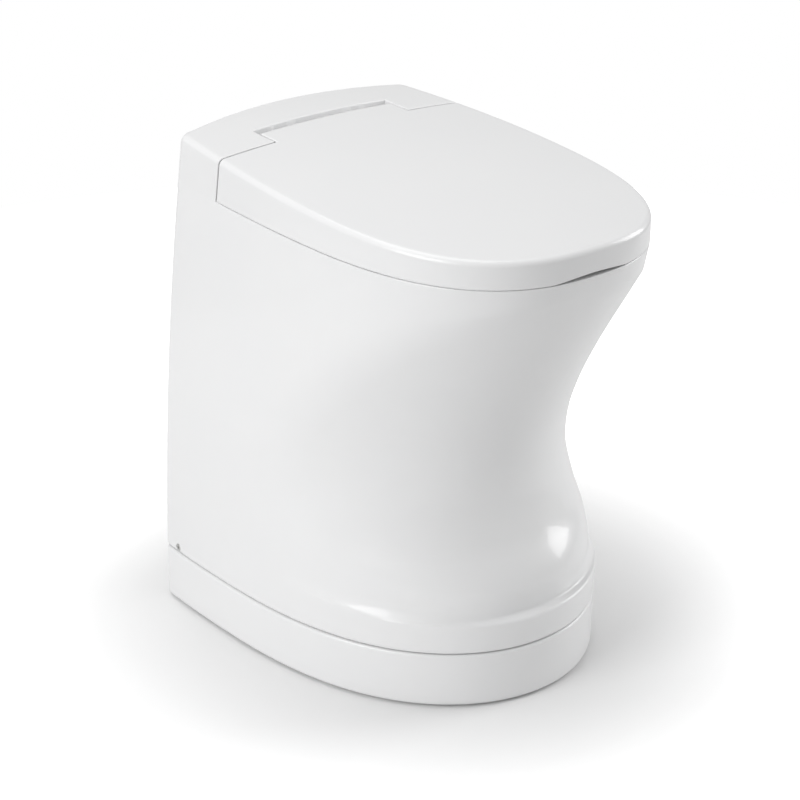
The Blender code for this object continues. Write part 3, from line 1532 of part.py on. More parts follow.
def make_power_inlet(dark):
    face = panel_face_y(0, inlet_z)
    seat = face + piece_gap
    back = seat + inlet_flange_sheet
    half_x, half_z = inlet_half_width, inlet_half_height
    near = (-half_x, face - inlet_depth, inlet_z - half_z)
    inlet = piece("power_inlet", box(near, (half_x, back, inlet_z + half_z)))
    rim_x, rim_z = half_x + inlet_flange, half_z + inlet_flange
    join(inlet, box((-rim_x, seat, inlet_z - rim_z), (rim_x, back, inlet_z + rim_z)))
    hole_x, hole_z = half_x - inlet_socket_wall, half_z - inlet_socket_wall
    floor = back - inlet_socket_depth
    cut(inlet, box((-hole_x, floor, inlet_z - hole_z), (hole_x, back + overrun, inlet_z + hole_z)))
    for i in (-1, 0, 1):
        x = i * hole_x * 0.6
        blade = box((x - hole_x / 12, floor - inlet_socket_wall / 2, inlet_z - hole_z / 3),
                    (x + hole_x / 12, back - inlet_socket_wall, inlet_z + hole_z / 3))
        join(inlet, blade)
    dress(inlet, dark)


def build():
    clear_scene()
    white = finish("gloss_white_plastic", (0.86, 0.86, 0.86), 0.18)
    steel = finish("stainless_steel", (0.62, 0.62, 0.60), 0.32, 1.0)
    heat_steel = finish("heat_tinted_steel", (0.45, 0.41, 0.36), 0.45, 1.0)
    brass = finish("brass", (0.72, 0.55, 0.27), 0.35, 1.0)
    rubber = finish("grey_rubber", (0.16, 0.16, 0.17), 0.75)
    dark = finish("dark_plastic", (0.05, 0.05, 0.055), 0.5)
    wool = finish("mineral_wool", (0.72, 0.66, 0.50), 0.95)
    ceramic = finish("ceramic", (0.80, 0.76, 0.68), 0.6)
    blackened = finish("blackened_steel", (0.10, 0.10, 0.10), 0.55, 1.0)
    lens = finish("green_lens", (0.10, 0.55, 0.18), 0.1)
    board_green = finish("circuit_board", (0.04, 0.25, 0.10), 0.5)
    make_casing(white)
    make_rear_panel(white)
    make_panel_screws(steel)
    make_casing_screws(steel)
    make_base_tray(white)
    make_feet(rubber)
    make_lid(white)
    make_seat(white)
    make_hinge_pins(steel)
    make_buffers(rubber)
    make_bowl(steel)
    make_throat(heat_steel, rubber)
    for side, word in ((-1, "left"), (1, "right")):
        make_flap(side, word, steel)
        make_flap_shaft(side, word, steel)
    make_flap_drive(steel, brass, dark)
    make_chamber(heat_steel, wool)
    make_stand(steel)
    make_heater(blackened, ceramic, steel)
    make_ash_pan(steel)
    make_exhaust(steel, ceramic, blackened)
    make_controls(white, dark, lens, board_green)
    make_power_inlet(dark)


build()
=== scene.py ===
# %% [markdown]
# # An electric incinerating toilet
# A white plastic body stands on a base tray. Its front is scooped out for the user's heels. A lid
# and a seat share one hinge, and under them a steel bowl drops its load on two flaps over a burning
# chamber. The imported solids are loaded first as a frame, so every piece goes where the CAD says.

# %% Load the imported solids
import math

import bmesh
import bpy
import numpy as np
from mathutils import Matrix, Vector


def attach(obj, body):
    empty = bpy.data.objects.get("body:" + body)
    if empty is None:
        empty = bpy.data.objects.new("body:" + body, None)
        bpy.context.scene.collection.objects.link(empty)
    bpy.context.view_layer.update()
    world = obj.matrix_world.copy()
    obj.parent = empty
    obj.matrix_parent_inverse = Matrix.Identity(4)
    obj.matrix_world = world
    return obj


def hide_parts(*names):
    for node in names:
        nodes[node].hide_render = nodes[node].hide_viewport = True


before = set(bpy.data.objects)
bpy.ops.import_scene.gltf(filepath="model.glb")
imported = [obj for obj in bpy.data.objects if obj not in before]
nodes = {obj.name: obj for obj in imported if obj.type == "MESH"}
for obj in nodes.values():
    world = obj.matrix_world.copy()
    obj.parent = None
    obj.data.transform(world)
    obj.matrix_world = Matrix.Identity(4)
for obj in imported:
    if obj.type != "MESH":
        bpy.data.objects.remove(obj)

for leftover in ("Cube", "Light", "Camera"):
    if leftover in bpy.data.objects:
        bpy.data.objects.remove(bpy.data.objects[leftover])
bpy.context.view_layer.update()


def placed(name, data):
    """A new object in the scene, at the origin."""
    item = bpy.data.objects.new(name, data)
    bpy.context.scene.collection.objects.link(item)
    return item


# %% [markdown]
# ## The camera
# The photograph looks down at the toilet's front left corner from a few metres away, so the lens is
# long and the upright lines stay nearly upright.

# %% Camera
camera = placed("camera", bpy.data.cameras.new("camera"))
camera.data.lens = 108.417
camera.data.sensor_width = 36.0
camera.location = (-1.4983, -1.8725, 1.3377)
aim = Vector((-0.00066, 0.01098, 0.25573)) - camera.location
camera.rotation_euler = aim.to_track_quat("-Z", "Y").to_euler()
bpy.context.scene.camera = camera
print("camera looks from", round(aim.length, 2), "m")

# %% [markdown]
# ## Shader maths in plain arithmetic
# A finish is easier to read as a sum than as a web of nodes. Link wraps one socket, so that
# arithmetic on it adds Math nodes, and Finish.add makes every other node.


# %% Link and Finish
class Link:
    """One output socket. Arithmetic on it adds Math nodes to its finish."""

    def __init__(self, finish, socket):
        self.finish = finish
        self.socket = socket

    def maths(self, operation, *values):
        return self.finish.add("ShaderNodeMath", {"operation": operation}, dict(enumerate(values)))

    def __add__(self, other):
        return self.maths("ADD", self, other)

    __radd__ = __add__

    def __mul__(self, other):
        return self.maths("MULTIPLY", self, other)


finishes = {}


class Finish:
    """A material with the name of its slot."""

    def __init__(self, name, **constants):
        old = bpy.data.materials.get(name)
        if old:
            old.name = name + "_cad"
        self.material = bpy.data.materials.new(name)
        self.material.use_nodes = True
        self.tree = self.material.node_tree
        self.shader = self.tree.nodes["Principled BSDF"]
        for socket, value in constants.items():
            self.shader.inputs[socket.replace("_", " ")].default_value = value
        self.place = self.add("ShaderNodeTexCoord", output="Object")
        finishes[name] = self

    def add(self, kind, settings=None, inputs=None, output=None):
        node = self.tree.nodes.new(kind)
        for name, value in (settings or {}).items():
            if name == "stops":
                elements = node.color_ramp.elements
                for position, colour in value:
                    elements.new(position).color = (*colour, 1)
                elements.remove(elements[0])
                elements.remove(elements[-1])
            else:
                setattr(node, name, value)
        for name, value in (inputs or {}).items():
            if isinstance(value, Link):
                self.tree.links.new(value.socket, node.inputs[name])
            else:
                node.inputs[name].default_value = value
        if output is None:
            output = next(i for i, socket in enumerate(node.outputs) if socket.enabled)
        return Link(self, node.outputs[output])

    def noise(self, scale, detail=2.0, stretch=(1, 1, 1)):
        """Soft random spots, scale to the metre, drawn out along the axes of a small stretch."""
        place = self.add("ShaderNodeMapping", None, {"Vector": self.place, "Scale": stretch})
        sizes = {"Vector": place, "Scale": scale, "Detail": detail, "Roughness": 0.55}
        return self.add("ShaderNodeTexNoise", None, sizes, output="Fac")

    def blend(self, share, low, high):
        """A colour between two, by a share."""
        colours = {0: share, 6: (*low, 1), 7: (*high, 1)}
        return self.add("ShaderNodeMix", {"data_type": "RGBA"}, colours, output=2)

    def feed(self, socket, value):
        self.tree.links.new(value.socket, self.shader.inputs[socket])

    def bump(self, height, depth):
        """Relief of a depth in metres where height is 1."""
        self.feed("Normal", self.add("ShaderNodeBump", None, {"Height": height, "Distance": depth, "Strength": 1.0}))


def grained(name, noise, colours, gloss, depth=0.0, fine=None, **constants):
    """A finish led by one noise: two colours, a roughness with its swing, and relief, perhaps from finer noise."""
    finish = Finish(name, **constants)
    grain = finish.noise(*noise)
    finish.feed("Base Color", finish.blend(grain, *colours))
    finish.feed("Roughness", gloss[0] + grain * gloss[1])
    if depth:
        finish.bump(finish.noise(fine) if fine else grain, depth)


# %% [markdown]
# ## Finishes
# The body, lid and seat are moulded in one glossy white plastic. Real mouldings are never quite
# even: the gloss wanders a little over a hand's width, and the skin has a faint ripple.

# %% Gloss white plastic
white = Finish("gloss_white_plastic", IOR=1.46)
patches = white.noise(9.0, 3.0)
ripple = white.noise(38.0, 1.0)
dust = white.noise(420.0, 2.0)
white.feed("Base Color", white.blend(patches, (0.775, 0.778, 0.784), (0.80, 0.80, 0.80)))
white.feed("Roughness", 0.26 + patches * 0.05 + dust * 0.03)
white.feed("Coat Weight", 0.22 + patches * 0.1)
white.bump(ripple, 0.0003)
print("white plastic:", len(white.tree.nodes), "nodes")

# %% [markdown]
# The bowl, the flaps and the ash pan are stainless sheet, brushed along its length. Fine noise that
# is drawn out along one axis gives the grain, and it moves the gloss and the relief together.

# %% Metals
steel = Finish("stainless_steel", Metallic=1.0)
grain = steel.noise(900.0, 3.0, (0.02, 1.0, 1.0))
smears = steel.noise(14.0, 3.0)
steel.feed("Base Color", steel.blend(smears, (0.56, 0.56, 0.55), (0.66, 0.66, 0.64)))
steel.feed("Roughness", 0.24 + grain * 0.12 + smears * 0.08)
steel.bump(grain, 0.00004)

tinted = Finish("heat_tinted_steel", Metallic=1.0)
heat = tinted.noise(22.0, 4.0)
tint = ((0.25, (0.30, 0.31, 0.38)), (0.45, (0.46, 0.40, 0.33)), (0.6, (0.50, 0.38, 0.24)), (0.8, (0.42, 0.40, 0.37)))
tinted.feed("Base Color", tinted.add("ShaderNodeValToRGB", {"stops": tint}, {"Fac": heat}, output="Color"))
tinted.feed("Roughness", 0.34 + tinted.noise(120.0) * 0.16)
tinted.bump(tinted.noise(260.0), 0.00006)

brass = Finish("brass", Metallic=1.0)
turning = brass.noise(700.0, 2.0, (1.0, 0.04, 1.0))
tarnish = brass.noise(60.0, 3.0)
brass.feed("Base Color", brass.blend(tarnish, (0.60, 0.43, 0.19), (0.78, 0.60, 0.30)))
brass.feed("Roughness", 0.22 + turning * 0.14 + tarnish * 0.06)
brass.bump(turning, 0.00003)

colours = (0.07, 0.07, 0.075), (0.15, 0.14, 0.13)
grained("blackened_steel", (180.0, 4.0), colours, (0.45, 0.2), 0.00008, Metallic=1.0)
print("metals:", len(finishes) - 1)

# %% [markdown]
# Rubber and the dark mouldings have a fine matt grain. The wool is loose fibre, so its noise is
# drawn out and its relief is deep. The ceramic is chalky, and the lens lets a little light through.

# %% Soft, dark and other finishes
colours = (0.13, 0.13, 0.14), (0.19, 0.19, 0.20)
grained("grey_rubber", (160.0, 3.0), colours, (0.68, 0.18), 0.00008, 900.0, IOR=1.5)
colours = (0.040, 0.040, 0.045), (0.062, 0.062, 0.068)
grained("dark_plastic", (90.0, 2.0), colours, (0.42, 0.12), 0.00006, 1400.0, IOR=1.5)
colours = (0.58, 0.52, 0.37), (0.80, 0.74, 0.58)
grained("mineral_wool", (420.0, 4.0, (0.15, 1.0, 1.0)), colours, (0.86, 0.1), 0.0012, IOR=1.4)
colours = (0.72, 0.68, 0.60), (0.86, 0.82, 0.75)
grained("ceramic", (240.0, 4.0), colours, (0.72, 0.15), 0.0002, IOR=1.6)
colours = (0.07, 0.48, 0.14), (0.14, 0.62, 0.22)
grained("green_lens", (300.0, 2.0), colours, (0.12, 0.08), IOR=1.49, Transmission_Weight=0.35)
colours = (0.045, 0.24, 0.10), (0.10, 0.36, 0.17)
grained("circuit_board", (260.0, 1.0, (1.0, 0.25, 1.0)), colours, (0.34, 0.15), 0.00005, IOR=1.5)
print("finishes:", ", ".join(finishes))

# %% [markdown]
# Each solid already names its slot. A solid that stays in view gets the finish of that slot.

# %% Finishes on the solids
slots_used = set()
for node in nodes.values():
    slot_name = node.data.materials[0].name.replace("_cad", "")
    node.data.materials[0] = finishes[slot_name].material
    slots_used.add(slot_name)
print("slots used:", sorted(slots_used))

# %% [markdown]
# ## The body's outline
# Seen from above, the body is a rounded block with a bowed back and a long nose. Both the lid and
# the casing follow one outline that changes with height: broad and short at the floor, slim and
# long at the lid's seam. A formula gives it, so the visible skin can be as fine as it needs.

# %% Sizes of the body
base_half, base_rear_half, base_widest, base_front = 0.195, 0.193, 0.140, -0.232
seam_half, seam_rear_half, seam_widest, seam_front = 0.170, 0.1585, -0.016, -0.290
rear_y, rear_bow, corner_radius = 0.199, 0.020, 0.012
groove_low, groove_high = 0.0639, 0.0651
seam, lid_low, top, joint_gap = 0.492, 0.4926, 0.549, 0.0003
edge_radius, wall, lid_wall, panel_depth = 0.006, 0.004, 0.003, 0.005
ear_y, ear_lean, ear_gap = 0.1107, 0.1, 0.0024
tongue_half, pocket_half, pocket_clearance = 0.0885, 0.0898, 0.0009
hinge_y, hinge_z, pin_bore, past_upright = 0.136, 0.532, 0.0033, math.radians(5)
softness, seam_softness, panel_softness = 0.0016, 0.0017, 0.0009
draft_power, side_power, rear_powers, nose_powers = 1.9, 1.6, (3.0, 2.82), (2.0, 2.5)
lid_fall, lid_fall_power, crown = 0.027, 1.5, 0.008
bowl_y, flue_z, button_x, lens_x, button_y = -0.100, 0.225, 0.116, 0.140, 0.090
foot_x, foot_front, foot_rear = 0.120, -0.130, 0.150
overrun, rear_points = 0.03, 60


def mix(low, high, share):
    return low + (high - low) * share


def bow(x, half):
    """The bowed rear face's place, where the body is a half width wide at the back."""
    return rear_y + rear_bow * (1 - (x / half) ** 2)


def draft(height):
    """How far the body has changed from its foot to its seam, as a share."""
    return (np.maximum(height, 0) / seam) ** draft_power


def rear_half_at(height):
    """Half the body's width at the back."""
    return mix(base_rear_half, seam_rear_half, draft(height))


def outline(height, inset=0.0):
    """Fine points down the right half of the plan, from the rear centre to the front tip."""
    share = min(draft(height), 1)
    half = mix(base_half, seam_half, share) - inset
    rear_half = rear_half_at(height) - inset
    widest = mix(base_widest, seam_widest, share)
    front = mix(base_front, seam_front, share) + inset
    powers = mix(*rear_powers, share), mix(*nose_powers, share)
    back = rear_y - inset
    radius = max(corner_radius - inset, corner_radius / 4)

    def side(y):
        return half - (half - rear_half) * np.maximum((y - widest) / (back - widest), 0) ** side_power

    def rear(x):
        return bow(x, rear_half) - inset

    centre_y = rear(rear_half - radius) - radius
    centre_x = side(np.array(centre_y)) - radius
    x = np.linspace(0, centre_x, rear_points)[:-1]
    turn = np.radians(np.linspace(90, 0, 40))
    flank = np.linspace(centre_y, widest, 160)[1:]
    sweep = np.pi / 2 * np.linspace(0, 1, 400)[1:] ** 1.1
    nose_x = half * np.maximum(np.cos(sweep), 0) ** (2 / powers[1])
    nose_x[-1] = 0
    nose_y = widest + (front - widest) * np.sin(sweep) ** (2 / powers[0])
    corner = np.stack([centre_x + radius * np.cos(turn), centre_y + radius * np.sin(turn)], 1)
    parts = [np.stack([x, rear(x)], 1), corner, np.stack([side(flank), flank], 1), np.stack([nose_x, nose_y], 1)]
    return np.concatenate(parts), rear_half


print("half outline at the seam:", len(outline(seam)[0]), "points")

# %% [markdown]
# The skin is a net of rings. Its columns crowd together beside each joint line, so the line can
# have the small soft edges of a real moulding: where the panel, the ears or the lid's tongue meet
# their neighbour, a pair of thin shadows and highlights shows instead of a hard crease.

# %% Columns of the net
panel_steps = np.array([-2.2, -1.4, -0.9, -0.55, -0.3, -0.12, 0.2, 0.52, 0.7, 1.0, 1.4, 2.0, 3.0]) / 1000
ear_steps = np.array([3.6, 2.4, 1.6, 1.1, 0.7, 0.4, 0.15, -1.2, -2.55, -2.8, -3.1, -3.5, -4.0, -4.8, -6.2]) / 1000
deck_steps = np.array([160, 158.3, 157, 156.2, 155.6, 155.1, 154.6, 154.1, 153.5, 152.8, 152, 151, 149.5, 147.5,
                       145, 142.5, 140, 137.5, 135.2, 133, 130.5, 128, 125.5, 123.2, 121.2]) / 1000


def ear_line(height):
    return ear_y + ear_lean * (top - height)


def columns(height, inset=0.0):
    """The net's half ring at a height."""
    points, rear_half = outline(height, inset)
    steps = np.hypot(*np.diff(points, axis=0).T)
    run = np.concatenate([[0], np.cumsum(steps)])
    x, y = points.T
    depth = max(panel_depth, inset + 0.0015)
    ahead = y - bow(x, rear_half + inset) + depth
    cut = int(np.argmax(ahead < 0))
    panel = np.interp(0, [-ahead[cut - 1], -ahead[cut]], [run[cut - 1], run[cut]])

    def at_y(value):
        return np.interp(-value, -y[cut:], run[cut:])

    ears = at_y(ear_line(max(height, seam)) + ear_steps)
    deck = at_y(np.minimum(deck_steps, y[cut] - 0.006))
    first = np.linspace(0, panel + panel_steps[0], 24)[:-1]
    second = np.linspace(panel + panel_steps[-1], deck[0], 8)[1:-1]
    third = np.linspace(ears[-1], at_y(seam_widest), 14)[1:-1]
    last = np.linspace(at_y(seam_widest), run[-1], 74)
    places = np.concatenate([first, panel + panel_steps, second, deck, ears, third, last])
    return np.stack([np.interp(places, run, x), np.interp(places, run, y)], 1)


print("columns in a half ring:", len(columns(seam)))

# %% [markdown]
# The front is scooped out between two heights. Level by level the scoop is an arc across the body,
# and here it is blended with the outline so that its rim is soft, as the moulding's is.

# %% The scoop
scoop_low, scoop_high, scoop_span, scoop_length = 0.100, 0.474, 0.205, 0.300
height_shares = (0, 0.03, 0.08, 0.135, 0.187, 0.32, 0.455, 0.588, 0.722, 0.856, 0.95, 1)
tip_shares = (0.36, 0.39, 0.41, 0.32, 0.177, 0.008, 0.033, 0.196, 0.44, 0.716, 0.89, 0.972)
round_shares = (0.77, 1, 1.08, 1.05, 1.02, 1.035, 1.025, 0.997, 0.955, 0.88, 0.69, 0.26)
scoop_tip_back, scoop_tip_front, scoop_blend = -0.185, -0.290, 0.011
scoop_centre = np.array((0, 0.020))
rim_heights = (0.094, 0.097, 0.0985, 0.0995, 0.100, 0.1003, 0.101, 0.1025, 0.105, 0.108, 0.458, 0.466, 0.474, 0.482)
rim_depths = (0, 0.03, 0.10, 0.25, 0.45, 0.60, 0.80, 0.93, 0.98, 1, 1, 0.85, 0.3, 0)


def curve(shares, values, share):
    """A smooth curve through a table, with each slope taken from its neighbours."""
    last = len(shares) - 1
    share = min(max(share, shares[0]), shares[last])
    k = max(i for i in range(last) if shares[i] <= share)
    slopes = []
    for i in (k, k + 1):
        low, high = max(i - 1, 0), min(i + 1, last)
        slopes.append((values[high] - values[low]) / (shares[high] - shares[low]))
    span = shares[k + 1] - shares[k]
    t = (share - shares[k]) / span
    start, end = values[k], values[k + 1]
    bend = slopes[0] * span * (t**3 - 2 * t**2 + t) + slopes[1] * span * (t**3 - t**2)
    return start * (2 * t**3 - 3 * t**2 + 1) + end * (3 * t**2 - 2 * t**3) + bend


def scooped(points, height, grow=0.0):
    """Pulls a ring's points in to the scoop's arc at their height."""
    shift = grow if height < 0.3 else -grow
    depth = np.interp(height + shift, rim_heights, rim_depths)
    if not depth:
        return points
    share = min(max((height - scoop_low + grow) / (scoop_high - scoop_low + 2 * grow), 0), 1)
    tip = mix(scoop_tip_back, scoop_tip_front, curve(height_shares, tip_shares, share))
    length = scoop_length * curve(height_shares, round_shares, share)
    centre = tip + length
    span, length = scoop_span - grow, length - grow
    ray = points - scoop_centre
    reach = np.hypot(*ray.T)
    dx, dy = (ray / reach[:, None]).T
    offset = scoop_centre[1] - centre
    a = dx**2 / span**2 + dy**2 / length**2
    b = offset * dy / length**2
    root = b**2 - a * (offset**2 / length**2 - 1)
    arc = np.where(root > 0, (np.sqrt(np.maximum(root, 0)) - b) / a, 9.0)
    arc = np.where(scoop_centre[1] + arc * dy > centre, span / np.maximum(np.abs(dx), 1e-6), arc)
    h = np.clip(0.5 + 0.5 * (arc - reach) / scoop_blend, 0, 1)
    new = mix(arc, reach, h) - scoop_blend * h * (1 - h)
    new = reach + (new - reach) * depth
    return scoop_centre + ray / reach[:, None] * new[:, None]


deepest = height_shares[tip_shares.index(min(tip_shares))]
print("scoop is deepest at", round(mix(scoop_low, scoop_high, deepest), 3), "m")

# %% [markdown]
# ## One net for casing, panel and lid
# The rings run from the groove over the base to the domed top, where rows at one depth close it.
# A map of the joint lines says how far each point is from its joint, and the skin sinks there along
# a small arc.


# %% The net
def dome(x, y):
    fall = np.maximum(rear_y - y, 0) / (rear_y - seam_front)
    return top - lid_fall * fall**lid_fall_power - crown * (x / seam_half) ** 2


def tongue_radius(x):
    return dome(x, hinge_y) - hinge_z


def pocket_radius(radius):
    """Room for a tongue of a radius, whose square lip turns past upright."""
    return radius * (1 / math.cos(past_upright) + math.tan(past_upright)) + pocket_clearance


def sunk(distance, radius=softness):
    """How far a soft edge has dropped at a distance from its joint, where less than zero counts as zero."""
    inside = np.clip(radius - distance, 0, radius)
    return radius - np.sqrt(radius**2 - inside**2)


net_merge = 2e-6
low_levels = [(groove_high, 0.0030), (0.0655, 0.0021), (0.0661, 0.0013), (0.0669, 0.0006), (0.0679, 0.0002), 0.0695]
side_levels = [0.073, 0.079, 0.085, 0.090, 0.0935, 0.0955, 0.097, 0.098, 0.0986, 0.0991, 0.0995, 0.0998, 0.1001,
               0.1004, 0.1008, 0.1013, 0.102, 0.103, 0.1042, 0.1055, 0.107, 0.109, 0.112, 0.116, 0.121, 0.127]
side_levels += list(np.arange(0.134, 0.45, 0.0085)) + [0.4535, 0.458, 0.462, 0.466, 0.470, 0.4735, 0.477, 0.480]
side_levels += [0.483, 0.486, 0.4885, 0.4902, 0.4907, 0.4912, 0.4916, 0.49185, 0.4923, 0.49275, 0.4930, 0.4934]
side_levels += [0.4939, 0.4947, 0.4965, 0.500, 0.505, 0.510, 0.5145]
edge_turns = [0, 8, 16, 24, 32, 40, 47, 53, 57, 60, 61.5, 62.5, 63.2, 64.6, 66.2, 67, 68.2, 70, 73, 77, 83, 90]


def joint_depth(x, y, z, rear_half, lid):
    """Depth of the soft edges at the body's joints, as the lid's skin or as the casing's."""
    x = np.abs(x)
    ear = ear_line(np.maximum(z, seam))
    ahead = y - bow(x, rear_half) + panel_depth
    panel = np.maximum(ahead, -joint_gap - ahead)
    depth = np.where(y > 0.15, sunk(panel, panel_softness), 0)
    raised = z > seam + joint_gap
    if lid:
        front = ear - ear_gap - y
        inner = tongue_half - x
        away = np.where(inner > 0, np.where(front > 0, np.hypot(front, inner), inner), front)
        depth = np.where(raised, sunk(away), depth)
        depth = np.where(raised & (y > hinge_y + 0.001), 0, depth)
    else:
        back = y - ear
        outer = x - pocket_half
        beyond = y - hinge_y - pocket_radius(tongue_radius(x))
        away = np.minimum(back, np.hypot(np.maximum(outer, 0), np.maximum(beyond, 0)))
        depth = np.where(raised, np.maximum(depth, sunk(away)), depth)
    near_seam = np.abs(z - (seam + lid_low) / 2) - joint_gap
    fade = np.clip((ear - ear_gap / 2 - y) / 0.0012, 0, 1)
    return np.maximum(depth, sunk(near_seam, seam_softness) * fade)


def mirrored(half):
    return np.concatenate([half, half[-2:0:-1] * np.array([-1, 1])])


def level_loop(plan, height):
    return np.column_stack([plan, np.full(len(plan), height)])


def side_rings(levels, inset=0.0, grow=0.0):
    """Rings up the side. A level is a height, or a height with an inset of its own."""
    rings = []
    for level in levels:
        height, extra = level if isinstance(level, tuple) else (level, 0.0)
        plan = scooped(mirrored(columns(height, inset + extra)), height, grow)
        rings.append(level_loop(plan, height))
    return rings


def edge_rings(inset=0.0, turns=edge_turns):
    """Rings over the rounded edge, whose height follows the dome."""
    rings = []
    radius = edge_radius - inset
    for turn in np.radians(turns):
        inward = inset + radius * (1 - math.cos(turn))
        low, high = mirrored(columns(seam, inward)), mirrored(columns(top, inward))
        plan = high
        for _ in range(3):
            height = dome(*plan.T) - inset - radius * (1 - math.sin(turn))
            plan = low + (high - low) * ((height - seam) / (top - seam))[:, None]
        rings.append(np.column_stack([plan, height]))
    return rings


column_steps = np.concatenate([
    np.linspace(0, tongue_half - 0.0035, 15),
    tongue_half + np.array([-2.6, -1.8, -1.2, -0.8, -0.5, -0.25, 0.65, 1.5, 1.7, 2.0, 2.4, 3.0, 3.8, 5.0]) / 1000,
    mix(tongue_half + 0.005, 0.1465, np.array([0.1, 0.22, 0.34, 0.46, 0.58, 0.7, 0.8, 0.88, 0.95])),
])


def top_rows(ring, inset=0.0):
    """Rows of one depth across the top, each between the two ends of a column."""
    half = len(ring) // 2
    rows = {}
    for i, (x, y, _) in enumerate(ring[: half + 1]):
        if x < 0.02:
            continue
        stretch = np.interp(column_steps, [0, 0.0955, 0.1465], [0, 0.0955, max(x, 0.11)])
        across = stretch * min(x / 0.11, 1)
        across = np.concatenate([-across[:0:-1], across])
        rows[i] = np.column_stack([across, np.full_like(across, y), dome(across, y) - inset])
    return rows


def welded(mesh, merge):
    """A mesh opened for editing, without doubled points or edges of no length."""
    shape = bmesh.new()
    shape.from_mesh(mesh)
    bmesh.ops.remove_doubles(shape, verts=shape.verts, dist=merge)
    bmesh.ops.dissolve_degenerate(shape, edges=shape.edges, dist=merge / 2)
    return shape


def solid(points, faces, name, merge=1e-7):
    """A mesh object with its faces turned outward."""
    mesh = bpy.data.meshes.new(name)
    mesh.from_pydata([tuple(point) for point in points], [], faces)
    shape = welded(mesh, merge)
    bmesh.ops.recalc_face_normals(shape, faces=shape.faces)
    shape.to_mesh(mesh)
    shape.free()
    return placed(name, mesh)


def bands(loops, closed=False):
    """The faces between loops of equal length, and from the last one to the first if closed."""
    count, faces = len(loops[0]), []
    for k in range(len(loops) if closed else len(loops) - 1):
        low, high = k * count, (k + 1) % len(loops) * count
        faces += [[low + i, low + (i + 1) % count, high + (i + 1) % count, high + i] for i in range(count)]
    return faces


def closed_loft(loops, name="loft", merge=1e-7):
    """A skin over loops of equal length, closed by a face at each end."""
    count, base = len(loops[0]), (len(loops) - 1) * len(loops[0])
    ends = [list(range(count))[::-1], list(range(base, base + count))]
    return solid(np.concatenate(loops), bands(loops) + ends, name, merge)


def domed_net(rings, rows, name):
    """A closed mesh of rings, with rows across its top and a flat face below."""
    count, base = len(rings[0]), (len(rings) - 1) * len(rings[0])
    faces = bands(rings) + [list(range(count))[::-1]]
    first, last, wide = min(rows), max(rows), len(rows[min(rows)])
    start = base + count
    for i in range(first, last):
        row = start + (i - first) * wide
        under = row + wide
        for j in range(wide - 1):
            faces.append([row + j, row + j + 1, under + j + 1, under + j])
        faces.append([row + wide - 1, base + i, base + i + 1, under + wide - 1])
        faces.append([base + count - i, row, under, base + count - i - 1])
    back = [base + i % count for i in range(count - first, count + first + 1)]
    faces.append(back + list(range(start, start + wide))[::-1])
    end = start + (last - first) * wide
    faces.append(list(range(base + last, base + count - last + 1)) + list(range(end, end + wide)))
    points = np.concatenate(rings + [rows[i] for i in range(first, last + 1)])
    return solid(points, faces, name, net_merge)


def sink_joints(item, lid):
    """Moves the skin in along its normals where a joint's soft edge asks for it."""
    mesh = item.data
    count = len(mesh.vertices)
    points, normals = np.empty(count * 3), np.empty(count * 3)
    mesh.vertices.foreach_get("co", points)
    mesh.vertex_normals.foreach_get("vector", normals)
    points, normals = points.reshape(-1, 3), normals.reshape(-1, 3)
    depth = joint_depth(*points.T, rear_half_at(points[:, 2]), lid)
    mesh.vertices.foreach_set("co", (points - normals * depth[:, None]).ravel())
    mesh.update()


def body_form(lid=False):
    rings = side_rings(low_levels + side_levels) + edge_rings()
    item = domed_net(rings, top_rows(rings[-1]), "skin")
    sink_joints(item, lid)
    return item


# %% [markdown]
# ## Cutting and finishing a mesh
# Holes and joints are cut with Booleans. The Manifold solver keeps the net's even faces and takes a
# fraction of a second. Afterwards every edge sharper than a set angle is marked, so the rest can be
# shaded smooth.


# %% Cutting tools
axis_order = {"X": (2, 0, 1), "Y": (0, 2, 1), "Z": (0, 1, 2)}


def prism(points, low, high, axis="Z", name="prism"):
    """A straight block over a plan: (x, y) along Z, (x, z) along Y or (y, z) along X."""
    loops = [[[(u, v, level)[k] for k in axis_order[axis]] for u, v in points] for level in (low, high)]
    return closed_loft(loops, name)


def box(centre, half):
    """A block about a centre, from half of each side."""
    (x, y, z), (u, v, w) = centre, half
    return prism([(x - u, y - v), (x + u, y - v), (x + u, y + v), (x - u, y + v)], z - w, z + w)


def rod(centre, radius, length, axis, sides=48):
    """A round bar, centred on a point."""
    turns = [2 * math.pi * i / sides for i in range(sides)]
    u, v = {"X": (1, 2), "Y": (0, 2), "Z": (0, 1)}[axis]
    plan = [(centre[u] + radius * math.cos(t), centre[v] + radius * math.sin(t)) for t in turns]
    middle = centre["XYZ".index(axis)]
    return prism(plan, middle - length / 2, middle + length / 2, axis)


def ring_loft(loops, name="ring"):
    """A skin over loops whose last one joins the first again."""
    return solid(np.concatenate(loops), bands(loops, closed=True), name)


def spun(profile, centre, axis="Z", steps=72):
    """A closed profile of (radius, distance along the axis) turned about an axis through a centre."""
    turns = np.linspace(0, 2 * math.pi, steps + 1)[:-1]
    circle = np.stack([np.cos(turns), np.sin(turns)], 1)
    return ring_loft([level_loop(radius * circle, along)[:, axis_order[axis]] + centre for radius, along in profile])


def chamfered(radius, low, high, cut):
    """The outer points of a turned collar with both of its edges broken."""
    return [(radius - cut, low), (radius, low + cut), (radius, high - cut), (radius - cut, high)]


def evaluated(item):
    """Turns an object's modifiers into its plain mesh."""
    graph = bpy.context.evaluated_depsgraph_get()
    mesh = bpy.data.meshes.new_from_object(item.evaluated_get(graph))
    item.modifiers.clear()
    item.data = mesh
    return item


